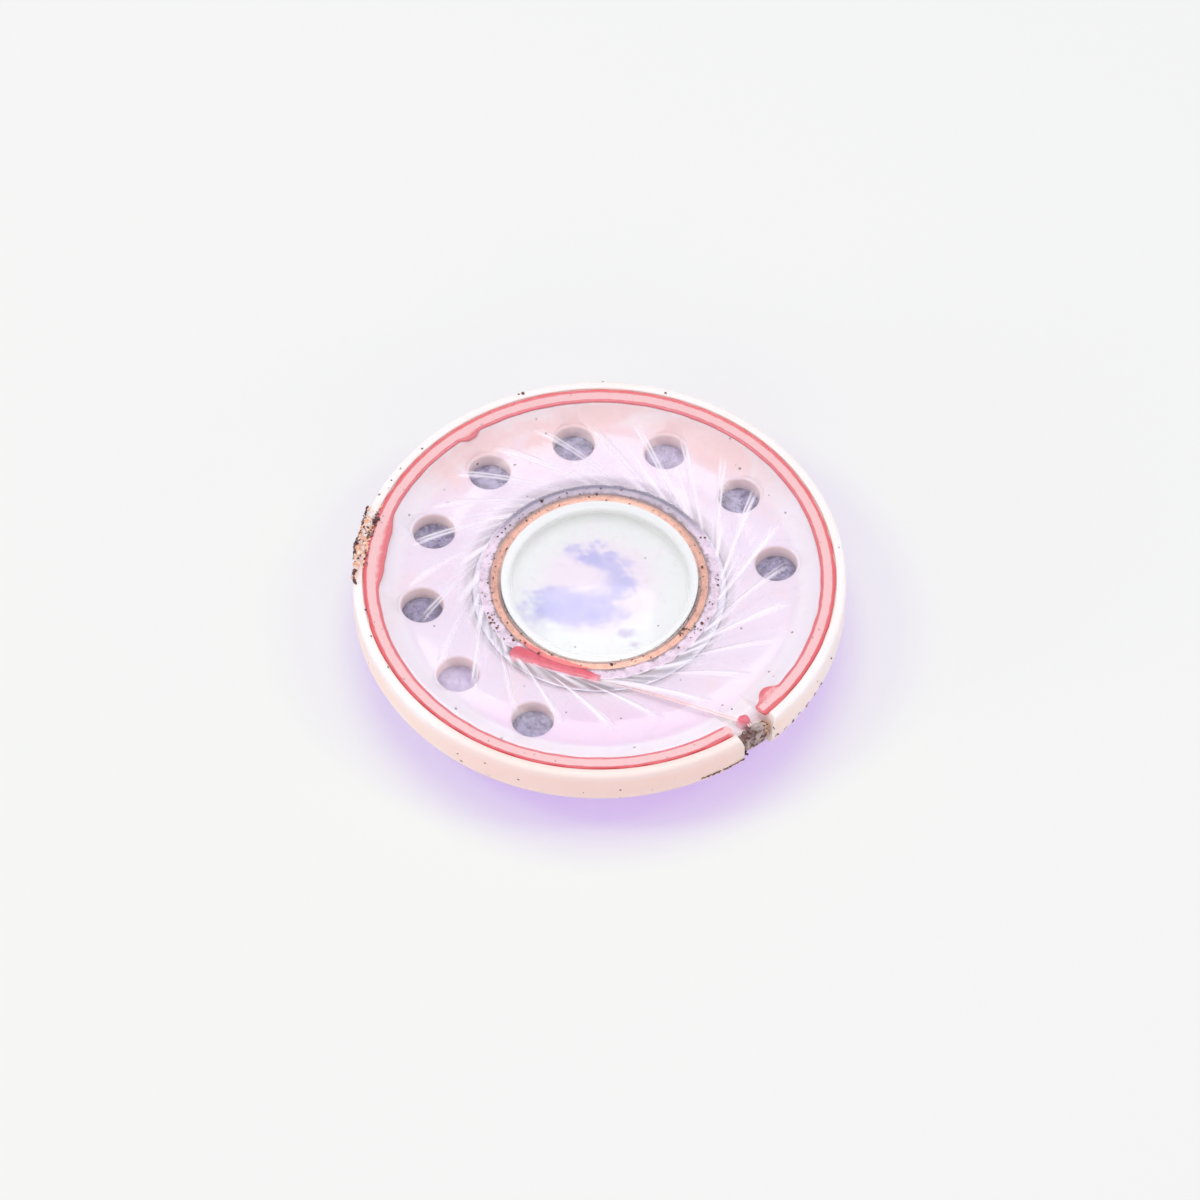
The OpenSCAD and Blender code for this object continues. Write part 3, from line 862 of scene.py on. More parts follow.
@dataclass(frozen=True)
class CreamPlastic(Finish):
    """Moulded cream plastic with grain, flow marks, dirt at the parting line and a stain on the rim."""

    slot = Slot.BASKET
    name: str = "cream_plastic"
    cream: Colour = tone(251, 241, 238)
    white: Colour = tone(254, 254, 250)
    lilac_and_film_shade: Colour = tone(242, 234, 240)
    peach: Colour = tone(252, 224, 208)
    painted_rim_shade: Colour = tone(249, 216, 206)
    painted_near_shade: Colour = tone(234, 208, 228)
    painted_front_shade: Colour = tone(242, 208, 196)
    glow: Colour = tone(255, 232, 222)
    dirt: Colour = tone(112, 74, 56)
    stain: Colour = tone(214, 128, 104)
    parting_z: float = 4.1

    def shade(self, tree: Tree) -> Wire:
        """Cream with broad noise, brown dots and lines, an orange stain, and painted shade and glow by place.

        Args:
            tree: Tree that takes the nodes.

        Returns:
            The shader.
        """
        where = tree.here()
        _, _, z = where.axes()
        reach = where.reach()
        right, back = tree.seen()
        flow = tree.here((0.25, 0.25, 0.7)).noise(0.8, 4, 0.6, 0.6)
        low_side = z.fade(6.35, 5.6) * reach.fade(17.5, 17.9)
        warm = (flow.fade(0.45, 0.75) * 0.3 + low_side * 0.7) * right.fade(12.0, 17.0, 1.0, 0.45)
        # Painted shade: a warm blush on the far slope, where the rim's shadow and its warm bounced light
        # fall.
        far = back.fade(5.0, 11.5) * reach.band(12.0, 14.2, 15.9, 16.2) * flow.fade(0.3, 0.6, 0.35, 0.9)
        # Painted shade: the near part of the floor under the film is darkened towards mauve.
        near = back.fade(-9.5, -13.0) * reach.fade(15.0, 14.4)
        # Painted shade: the rim's outer wall on the camera side is tinted brick, as it lies in shade.
        front = back.fade(-11.0, -16.0) * reach.fade(16.9, 17.4)
        # Painted light: a warm glow on the vent walls, standing in for light scattered through the plastic.
        vent = z.fade(5.6, 5.48) * reach.band(11.4, 11.6, 14.6, 14.8)
        grime = tree.here((1, 1, 2.5)).noise(1.6, 6, 0.7)
        patch = tree.here((0.11, 0.2, 0.5), 0, (5.5, -17, 4.6)).length().fade(1.0, 0.2)
        line = abs(z - self.parting_z).fade(0.16, 0.03) * grime.fade(0.56, 0.66)
        line = line * reach.fade(17.6, 17.8) * (patch + 0.28)
        dots = where.specks(1.1, 0.16, 0.16) * grime.fade(0.42, 0.5)
        rust = tree.here((1.1, 0.24, 0.7), -133.5, at(133.5, 17.8, 6.3)).length().fade(1.15, 0.3)
        slope = reach.fade(16.3, 16.0).mix(self.cream, self.white)
        # Painted shade: under the film the floor is a darker lilac, partly the film's tint and partly the
        # film's shade.
        colour = reach.fade(14.9, 14.2).mix(slope, self.lilac_and_film_shade)
        for share, tint in (
            (warm, self.peach), (far, self.painted_rim_shade), (near * 0.6, self.painted_near_shade), (front * 0.55, self.painted_front_shade),
            (vent, self.glow), (rust * grime.fade(0.36, 0.6) * 0.8, self.stain),
            ((line | dots) * 0.85, self.dirt),
        ):
            colour = share.mix(colour, tint)
        return tree.principled(
            colour, where.noise(1.3, 4).spread(0.3, 0.48), Normal=where.noise(9.0, 3, 0.6).bump(0.006),
            Subsurface_Weight=0.5, Subsurface_Radius=(1.0, 0.8, 0.7), Subsurface_Scale=1.4 * MM,
            Specular_IOR_Level=0.5,
        )


@dataclass(frozen=True)
class ClearFilm(Finish):
    """Clear pressed plastic film: mostly see-through, mirrors lamps, and is milky where it is stretched and
    where light is painted on it: a white foot over the coil's gap and highlights along the ribs.
    """

    slot = Slot.FILM
    name: str = "clear_film"
    through: Colour = tone(254, 252, 255)
    mirror: Colour = (0.62, 0.6, 0.62, 1.0)
    milk: Colour = tone(250, 246, 253)
    foot: Colour = tone(237, 240, 240)
    haze: float = 0.03

    def shade(self, tree: Tree) -> Wire:
        """Transparent and glossy by the angle of sight, then a milky share from noise and the mesh.

        Args:
            tree: Tree that takes the nodes.

        Returns:
            The shader.
        """
        where = tree.here()
        normal = where.noise(1.6, 2, 0.5).bump(0.0015)
        gloss = tree.out("BsdfAnisotropic", {"Color": self.mirror, "Roughness": 0.11, "Normal": normal})
        bounce = tree.out("LayerWeight", {"Blend": 0.1}, "Facing")
        glass = tree.either(bounce, tree.clear(self.through), gloss)
        # Painted light: the milky foot over the coil's gap, toned down to the plate's white.
        colour = where.reach().fade(7.55, 7.35).mix(self.milk, self.foot)
        milky = tree.principled(colour, 0.35, Specular_IOR_Level=0.3)
        scuff = where.noise(1.1, 6, 0.7, 0.5).fade(0.5, 0.85, self.haze, self.haze * 3)
        shadow = tree.out("LightPath", key="Is Shadow Ray")
        return tree.either((scuff + tree.value("milk")) * ~(shadow * 0.8), glass, milky)


@dataclass(frozen=True)
class PooledGlue(Finish):
    """Red adhesive, pale where it is squeezed thin and dark where it pools."""

    slot = Slot.RED
    name: str = "red_glue"
    thin: Colour = tone(255, 205, 196)
    deep: Colour = tone(230, 92, 98)
    fleck: Colour = tone(150, 116, 112)

    def shade(self, tree: Tree) -> Wire:
        """Colour by the mesh's own pool value with noise, and grey flecks in the thin part.

        Args:
            tree: Tree that takes the nodes.

        Returns:
            The shader.
        """
        where = tree.here()
        pool = tree.value("pool")
        share = (pool + where.noise(1.4, 5, 0.6).spread(-0.16, 0.16)).fade(0.1, 0.95)
        flecks = where.specks(2.2, 0.2, 0.3) * pool.fade(0.5, 0.2) * 0.7
        colour = flecks.mix(share.mix(self.thin, self.deep), self.fleck)
        return tree.glue(colour, 0.22, where.noise(3.0, 4).bump(0.02), (0.15, 0.6, 0.2, 0.2), (0.3, 0.1))


@dataclass(frozen=True)
class RedGlue(Finish):
    """Thick red adhesive of the dab and the drop."""

    slot = Slot.RED
    name: str = "red_glue_thick"
    bright: Colour = tone(238, 68, 94)
    dark: Colour = tone(216, 44, 72)
    pale: Colour = tone(250, 190, 196)
    bit: Colour = tone(110, 40, 40)

    def shade(self, tree: Tree) -> Wire:
        """Two reds by noise with dark bits, pale where the mesh says it is thin, glossy.

        Args:
            tree: Tree that takes the nodes.

        Returns:
            The shader.
        """
        where = tree.here()
        colour = where.noise(1.8, 5, 0.6).fade(0.35, 0.7).mix(self.bright, self.dark)
        colour = (where.specks(3.5, 0.18, 0.1) * 0.5).mix(colour, self.bit)
        colour = (tree.value("thin") * 0.85).mix(colour, self.pale)
        return tree.glue(colour, 0.2, where.noise(4.0, 3).bump(0.02), (0.2, 0.7, 0.2, 0.2), (0.4, 0.08))


@dataclass(frozen=True)
class AmberGlue(Finish):
    """Amber adhesive of the magnet system and the board."""

    slot = Slot.AMBER
    name: str = "amber_glue"
    pale: Colour = tone(214, 168, 96)
    deep: Colour = tone(156, 98, 40)

    def shade(self, tree: Tree) -> Wire:
        """Two ambers by noise, glossy, with light passing into it.

        Args:
            tree: Tree that takes the nodes.

        Returns:
            The shader.
        """
        where = tree.here()
        colour = where.noise(0.9, 5, 0.6).fade(0.35, 0.7).mix(self.pale, self.deep)
        return tree.glue(colour, 0.16, where.noise(2.6, 3).bump(0.02), (0.3, 1.0, 0.6, 0.2), (0.5, 0.06))


@dataclass(frozen=True)
class Winding(Finish):
    """Enamelled copper of the coil with spots of tarnish, painted shade at its edges, and red glue wicked in
    beside the dab.
    """

    slot = Slot.COIL
    name: str = "winding_copper"
    bright: Colour = tone(234, 192, 168)
    dull: Colour = tone(198, 156, 138)
    brown: Colour = tone(128, 106, 100)
    red: Colour = tone(220, 104, 108)
    speck: Colour = tone(62, 36, 30)
    enamel: Colour = tone(255, 222, 190)
    spots: float = 0.65
    # tarnish weighs the painted shade at the coil's edges.
    tarnish: float = 0.85
    wick: float = 0.95

    def shade(self, tree: Tree) -> Wire:
        """Metal in two browns by noise under a clear coat, tinted by place with painted shade at the edges
        and red by the dab, with dark specks.

        Args:
            tree: Tree that takes the nodes.

        Returns:
            The shader.
        """
        where = tree.here()
        reach = where.reach()
        _, back = tree.seen()
        # Painted shade: brown at the coil's inner edge on the near side and at its outer edge on the far
        # side, where the gap's shadow shows.
        painted_bore_shade = reach.fade(7.52, 7.42) * back.fade(4.0, -2.5)
        foot = reach.fade(7.55, 7.95) * back.fade(0.0, 6.0)
        edge = (painted_bore_shade | foot) * (reach < 7.97)
        off, along, _ = tree.here(turn=-math.degrees(LEVELS.line_turn)).axes()
        past = along.fade(-1.0, 1.0)
        wick = off * past + reach * ~past + where.noise(1.2, 3).spread(-0.08, 0.08)
        window = along.band(-3.5, -3.0, 2.6, 3.2) * off.fade(5.5, 6.5)
        dots = where.specks(3.0, 0.26, 0.16) | where.specks(1.3, 0.16, 0.2)
        colour = where.noise(1.2, 5, 0.65).fade(0.4, 0.72).mix(self.bright, self.dull)
        # Painted shade at the edges, weighed by tarnish.
        colour = (edge * self.tarnish).mix(colour, self.brown)
        colour = (wick.fade(7.52, 7.64) * window * self.wick).mix(colour, self.red)
        colour = (dots * self.spots).mix(colour, self.speck)
        rough = where.noise(5.0, 3).spread(0.26, 0.42)
        return tree.principled(
            colour, rough, Metallic=0.5, Coat_Weight=0.4, Coat_Roughness=0.15, Coat_Tint=self.enamel,
        )


@dataclass(frozen=True)
class LeadEnamel(Winding):
    """Pale enamelled copper of the two leads, almost without spots."""

    slot = Slot.LEAD
    name: str = "lead_enamel"
    bright: Colour = tone(254, 238, 238)
    dull: Colour = tone(250, 226, 228)
    spots: float = 0.05
    # No painted edge shade on the leads.
    tarnish: float = 0.0
    wick: float = 0.0


@dataclass(frozen=True)
class SeamGlue(Finish):
    """Aged clear glue between coil and film: brown by the coil, then milky with dark dashes."""

    slot = Slot.SEAM
    name: str = "seam_glue"
    milk: Colour = tone(252, 238, 246)
    # pale: painted highlight on the near side.
    pale: Colour = tone(255, 240, 248)
    brown: Colour = tone(134, 106, 98)
    grit: Colour = tone(128, 100, 104)
    # shadow and line: painted shade at the far side, grey with a darker outer line.
    shadow: Colour = tone(206, 198, 206)
    line: Colour = tone(138, 136, 154)
    through: Colour = tone(246, 242, 250)

    def shade(self, tree: Tree) -> Wire:
        """Brown to milky by radius, dashes by noise and dots, pale in front as a painted highlight and grey
        at the back as painted shade.

        Args:
            tree: Tree that takes the nodes.

        Returns:
            The shader.
        """
        where = tree.here()
        reach = where.reach()
        _, back = tree.seen()
        patches = where.noise(1.6, 5, 0.6)
        inner = (reach + patches.spread(-0.1, 0.1)).fade(8.22, 8.0)
        dots = where.specks(3.4, 0.3, 0.22) | where.specks(5.5, 0.26, 0.2)
        grit = where.noise(3.0, 3, 0.6).fade(0.56, 0.66) * 0.32
        colour = (grit | dots * 0.7).mix(self.milk, self.grit)
        # Painted highlight: the glue turns pale on the near side.
        colour = back.fade(-3.5, -6.5, 0.0, 0.75).mix(colour, self.pale)
        # Painted shade: at the far side the glue turns grey with a darker outer line, for the cup's rim in
        # shadow below.
        colour = back.fade(3.2, 6.5).mix(colour, reach.fade(8.42, 8.6).mix(self.shadow, self.line))
        colour = (inner * 0.8).mix(colour, self.brown)
        body = tree.principled(colour, 0.3, Coat_Weight=0.3, Coat_Roughness=0.15)
        return tree.either(patches.fade(0.3, 0.65, 0.6, 0.95) | inner * 0.8, tree.clear(self.through), body)


@dataclass(frozen=True)
class PlateSteel(Finish):
    """Bright plated disc under the dome, with bluish patches of painted reflection that its mesh marks, and
    fine specks.
    """

    slot = Slot.PLATE
    name: str = "bright_plate"
    bright: Colour = tone(233, 228, 230)
    edge: Colour = tone(230, 240, 230)
    # stain: colour of the painted reflection.
    stain: Colour = tone(180, 184, 226)
    mark: Colour = tone(186, 176, 208)
    cloud: Colour = tone(240, 228, 240)
    dot: Colour = tone(120, 92, 92)

    def shade(self, tree: Tree) -> Wire:
        """Near-white metal, painted reflection from the mesh's own values broken up by noise, and brown dots.

        Args:
            tree: Tree that takes the nodes.

        Returns:
            The shader.
        """
        where = tree.here()
        grit = where.noise(4.0, 8, 0.9)
        # Painted reflection: stain marks where the plate mirrors darker surroundings.
        stain = tree.value("stain") + grit.spread(-0.22, 0.22) + where.noise(0.7, 3, 0.5).spread(-0.1, 0.12)
        mark = tree.value("mark") + grit.spread(-0.4, 0.4)
        dots = where.specks(2.6, 0.13, 0.12) | where.specks(1.0, 0.09, 0.16)
        colour = where.reach().fade(3.0, 5.2).mix(self.bright, self.edge)
        colour = stain.fade(0.0, 1.3).mix(colour, self.stain)
        colour = mark.fade(0.2, 1.1, 0.0, 0.7).mix(colour, self.mark)
        colour = (where.noise(0.5, 5, 0.6).fade(0.45, 0.75) * 0.25).mix(colour, self.cloud)
        colour = (dots * 0.8).mix(colour, self.dot)
        rough = stain.fade(0.2, 0.9, 0.34, 0.55)
        return tree.principled(colour, rough, Metallic=0.25, Normal=where.noise(12.0, 3).bump(0.003))


@dataclass(frozen=True)
class SpunSteel(Finish):
    """Plated steel of the cup: fine rings from turning or drawing, fingermarks and small rust spots."""

    slot = Slot.YOKE
    name: str = "cup_steel"
    bright: Colour = tone(222, 224, 232)
    dull: Colour = tone(182, 186, 198)
    rust: Colour = tone(140, 88, 58)

    def shade(self, tree: Tree) -> Wire:
        """Metal in two greys by noise, ring marks by radius as bump, and few rust dots.

        Args:
            tree: Tree that takes the nodes.

        Returns:
            The shader.
        """
        where = tree.here()
        _, _, z = where.axes()
        rings = tree.out("CombineXYZ", {0: where.reach(), 1: z}).noise(14.0, 3, 0.6)
        smudge = where.noise(0.35, 5, 0.6, 0.4)
        colour = smudge.fade(0.4, 0.7).mix(self.bright, self.dull)
        colour = (where.specks(0.9, 0.16, 0.12) * 0.8).mix(colour, self.rust)
        rough = smudge.spread(0.24, 0.38) + rings.spread(0.0, 0.08)
        return tree.principled(colour, rough, Metallic=1.0, Normal=rings.bump(0.004))


@dataclass(frozen=True)
class Plating(Finish):
    """Nickel plating of the magnet."""

    slot = Slot.MAGNET
    name: str = "nickel"
    pale: Colour = tone(196, 196, 200)
    dark: Colour = tone(150, 148, 150)

    def shade(self, tree: Tree) -> Wire:
        """Satin metal, a little uneven in colour and roughness.

        Args:
            tree: Tree that takes the nodes.

        Returns:
            The shader.
        """
        cloud = tree.here().noise(0.8, 5, 0.6)
        colour = cloud.fade(0.35, 0.7).mix(self.pale, self.dark)
        return tree.principled(colour, cloud.spread(0.22, 0.4), Metallic=1.0)


@dataclass(frozen=True)
class Sealant(Finish):
    """Aged sealant: grey-brown crumbly lump, dark in its pits, with pale bits."""

    slot = Slot.SEALANT
    name: str = "old_sealant"
    grey: Colour = tone(182, 166, 162)
    brown: Colour = tone(104, 78, 66)
    pale: Colour = tone(226, 212, 206)
    plum: Colour = tone(112, 76, 82)
    tan: Colour = tone(214, 172, 142)

    def shade(self, tree: Tree) -> Wire:
        """Grey to brown by the lump's own pit value and noise, with pale bits, rough all over.

        Args:
            tree: Tree that takes the nodes.

        Returns:
            The shader.
        """
        where = tree.here()
        x, _, z = where.axes()
        grain = where.noise(3.2, 6, 0.75)
        # The lump is also darker towards its bottom, besides its pits.
        pit = tree.value("pit") + grain.spread(-0.45, 0.45) + z.fade(5.0, 4.5, 0.0, 0.5)
        colour = (x.fade(0.5, -0.1, 0.0, 0.85) * z.fade(5.75, 6.1)).mix(self.grey, self.plum)
        colour = (x.fade(0.85, 1.4) * z.fade(4.9, 5.3)).mix(colour, self.tan)
        colour = pit.fade(0.45, 1.05).mix(colour, self.brown)
        colour = (where.noise(5.0, 3).fade(0.62, 0.7) * 0.7).mix(colour, self.pale)
        return tree.principled(colour, 0.75, Normal=grain.bump(0.06), Specular_IOR_Level=0.3)


@dataclass(frozen=True)
class Crumb(Finish):
    """Dry crumbs of dirt or old glue, in dark and lighter brown."""

    slot = Slot.SEALANT
    name: str = "crumb"
    dark: Colour = tone(58, 36, 32)
    light: Colour = tone(138, 86, 66)

    def shade(self, tree: Tree) -> Wire:
        """Two browns by noise, rough.

        Args:
            tree: Tree that takes the nodes.

        Returns:
            The shader.
        """
        where = tree.here()
        colour = where.noise(2.6, 4, 0.7).fade(0.42, 0.68).mix(self.dark, self.light)
        return tree.principled(colour, 0.7, Normal=where.noise(9.0, 3).bump(0.03))


@dataclass(frozen=True)
class Paper(Finish):
    """Blue-grey fibrous damping paper, with painted light and shade behind three of the vents."""

    slot = Slot.PAPER
    name: str = "fibrous_paper"
    dark: Colour = tone(96, 94, 124)
    pale: Colour = tone(172, 170, 202)
    fibre: Colour = tone(206, 208, 228)
    lit: Colour = tone(222, 212, 240)
    dim: Colour = tone(96, 86, 112)

    def behind(self, tree: Tree, vent: float, amount: float) -> Wire:
        """Share of a tint round the place behind the vent at a row angle."""
        where = tree.here((1, 1, 0), 0, at(vent, LEVELS.vent_circle_r, 0))
        return where.length().fade(3.2, 1.8, 0.0, amount)

    def shade(self, tree: Tree) -> Wire:
        """Mottled blue-grey with pale fibres that run both ways, soft and matt.

        Args:
            tree: Tree that takes the nodes.

        Returns:
            The shader.
        """
        mottle = tree.here().noise(1.5, 6, 0.75)
        ways = (((0.5, 6, 1), 25), ((6, 0.5, 1), 10))
        one, two = (tree.here(stretch, turn).noise(1.2, 4, 0.7, 0.6) for stretch, turn in ways)
        fibre = (one | two).fade(0.56, 0.7)
        colour = mottle.fade(0.38, 0.62).mix(self.dark, self.pale)
        colour = (fibre * 0.6).mix(colour, self.fibre)
        # Painted light and shade: the paper is lit behind two vents and dimmed behind a third, as light falls
        # into the holes.
        colour = (self.behind(tree, 180, 0.6) | self.behind(tree, 30, 0.3)).mix(colour, self.lit)
        colour = self.behind(tree, 150, 0.25).mix(colour, self.dim)
        normal = (mottle + fibre).bump(0.03)
        return tree.principled(colour, 0.85, Normal=normal, Sheen_Weight=0.2, Specular_IOR_Level=0.2)


@dataclass(frozen=True)
class Laminate(Finish):
    """Brown paper laminate of the terminal board, with faint fibres."""

    slot = Slot.BOARD
    name: str = "brown_laminate"
    tan: Colour = tone(196, 152, 96)
    brown: Colour = tone(160, 112, 62)

    def shade(self, tree: Tree) -> Wire:
        """Two browns by stretched noise, satin."""
        colour = tree.here((2.2, 0.4, 1), 12).noise(2.0, 5, 0.65).fade(0.35, 0.7).mix(self.tan, self.brown)
        return tree.principled(colour, 0.42, Normal=tree.here().noise(5.0, 4).bump(0.01))


@dataclass(frozen=True)
class TinnedCopper(Finish):
    """Copper of the pads, tarnished in clouds and finely scratched."""

    slot = Slot.PAD
    name: str = "tinned_copper"
    copper: Colour = tone(214, 134, 88)
    tarnish: Colour = tone(150, 96, 70)

    def shade(self, tree: Tree) -> Wire:
        """Metal in two coppers by noise, with fine scratches.

        Args:
            tree: Tree that takes the nodes.

        Returns:
            The shader.
        """
        cloud = tree.here().noise(1.3, 5, 0.65)
        scratch = tree.here((0.3, 7, 1), 35).noise(2.0, 3, 0.6)
        colour = cloud.fade(0.4, 0.7).mix(self.copper, self.tarnish)
        return tree.principled(colour, cloud.spread(0.22, 0.45), Metallic=1.0, Normal=scratch.bump(0.006))


@dataclass(frozen=True)
class Solder(Finish):
    """Solder: bright and grey in clouds, grained, with flux stains."""

    slot = Slot.SOLDER
    name: str = "solder_metal"
    bright: Colour = tone(214, 214, 216)
    grey: Colour = tone(164, 164, 168)
    flux: Colour = tone(184, 142, 84)

    def shade(self, tree: Tree) -> Wire:
        """Two greys by noise, metal, with a fine grain as bump and amber flux in places.

        Args:
            tree: Tree that takes the nodes.

        Returns:
            The shader.
        """
        where = tree.here()
        cloud = where.noise(1.6, 5, 0.6)
        colour = cloud.fade(0.38, 0.7).mix(self.bright, self.grey)
        colour = where.noise(0.9, 3).fade(0.58, 0.7, 0.0, 0.4).mix(colour, self.flux)
        normal = where.noise(7.0, 3).bump(0.015)
        return tree.principled(colour, cloud.spread(0.2, 0.42), Metallic=0.95, Normal=normal)


# Sub-assemblies


def ring_rows(rows: list[tuple[Array | float, ...]], turn: Array) -> list[Array]:
    """Arrays, rows by angles, of each entry in the rows' tuples, which are numbers or one value per angle."""
    return [np.stack([np.broadcast_to(row[k], turn.shape) for row in rows]) for k in range(len(rows[0]))]


@dataclass
class Basket:
    """Moulded plastic basket: rim, glue land, dished floor with vents, slot, notch and collar."""

    columns: int = 360
    vent_columns: int = 56
    vent_rows: int = 7
    vent_r: float = 1.535
    vent_angles: tuple[float, ...] = (330, 0, 30, 60, 90, 120, 150, 180, 210)
    vent_lip: float = 0.2
    seat_r: float = 9.35
    collar_r: float = 10.3
    mouth: float = 0.6
    step: float = 0.15
    step_h: float = 0.5
    slot_lean: float = 0.3
    behind_rim: float = 0.65
    sharp: float = 30.0

    def section(self) -> Array:
        """Section of the basket with its corners rounded as a mould leaves them.

        Returns:
            Radius and height of each point.
        """
        lv = LEVELS
        side_r, step_z = lv.rim_r - self.step, lv.rim_back_z + self.step_h
        return rounded([
            (self.seat_r, lv.collar_z, 0.12), (self.collar_r, lv.collar_z, 0.18),
            (self.collar_r, lv.floor_back_z, 0.2), (lv.recess_r, lv.floor_back_z, 0.2),
            (lv.recess_r, lv.rim_back_z, 0.15), (side_r, lv.rim_back_z, 0.15), (side_r, step_z, 0.04),
            (lv.rim_r, step_z, 0.06), (lv.rim_r, lv.rim_top_z, 0.5), (lv.land_out_r, lv.rim_top_z, 0.14),
            (lv.land_out_r, lv.land_z, 0.05), (lv.ridge_out_r, lv.land_z, 0.03),
            (lv.ridge_out_r, lv.ridge_z, 0.05), (lv.ridge_in_r, lv.ridge_z, 0.05),
            (lv.ridge_in_r, lv.land_z, 0.03), (lv.land_in_r, lv.land_z, 0.25),
            (lv.floor_r, lv.floor_z, 0.5), (self.seat_r + self.mouth, lv.floor_z, 0.2),
            (self.seat_r, lv.floor_z - self.mouth, 0.15),
        ], steps=5)

    def vent_cutter(self, row_angle: float) -> Shell:
        """Turned cutter of one vent, which flares by a quarter round at the floor and goes on outwards.

        Args:
            row_angle: Row angle of the vent, in degrees.

        Returns:
            The cutter.
        """
        lv = LEVELS
        turn = np.linspace(0, math.pi / 2, self.vent_rows)
        lip_r = self.vent_r + self.vent_lip * (1 - np.cos(turn))
        lip_z = lv.floor_z - self.vent_lip * (1 - np.sin(turn))
        section = np.concatenate([
            [[self.vent_r, lv.floor_back_z - 0.5]], np.stack([lip_r, lip_z], axis=1),
            [[lip_r[-1] + 0.5, lv.floor_z + 0.6]],
        ])
        return capped(turned_grid(section, around(self.vent_columns)) + at(row_angle, lv.vent_circle_r, 0))

    def block(self, inner_r: float, low: float, high: float, lean: float = 0.0) -> Shell:
        """Block over the notch's side, from a radius outwards, whose sides lean outwards by a slope.

        Args:
            inner_r: Radius at which it starts.
            low: Height of its foot.
            high: Height of its top.
            lean: Slope of its sides.

        Returns:
            The block.
        """
        lv = LEVELS
        outer_y = -lv.rim_r - 1
        corners = []
        for z in (low, high):
            half = lv.slot_half_w + lean * (z - low)
            left, right = lv.slot_shift - half, lv.slot_shift + half
            corners += [[left, outer_y, z], [right, outer_y, z], [right, -inner_r, z], [left, -inner_r, z]]
        faces = np.concatenate([grid_quads(2, 4, False), [[3, 2, 1, 0], [4, 5, 6, 7]]])
        return Shell(np.array(corners), faces).outward()

    def build(self) -> None:
        """Turns the section, cuts the vents, the slot and the notch, and evens the shading of flat parts."""
        lv = LEVELS
        body = looped(turned_grid(self.section(), around(self.columns)))
        made = new_piece("basket_shell", body, CreamPlastic(), ("basket",), sharp=self.sharp)
        below = lv.rim_back_z - 1
        cutters = [self.vent_cutter(angle) for angle in self.vent_angles] + [
            self.block(lv.floor_r - self.behind_rim, lv.floor_z, lv.rim_top_z + 1, self.slot_lean),
            self.block(lv.notch_r, below, lv.rim_top_z + 1),
            self.block(lv.recess_r - self.behind_rim, below, lv.floor_back_z),
        ]
        for k, cutter in enumerate(cutters):
            cut(made, cutter, f"cutter_{k}")
        made.data.shade_smooth()
        made.data.set_sharp_from_angle(angle=math.radians(self.sharp))
        even = made.modifiers.new("even_shading", "WEIGHTED_NORMAL")
        even.keep_sharp = True


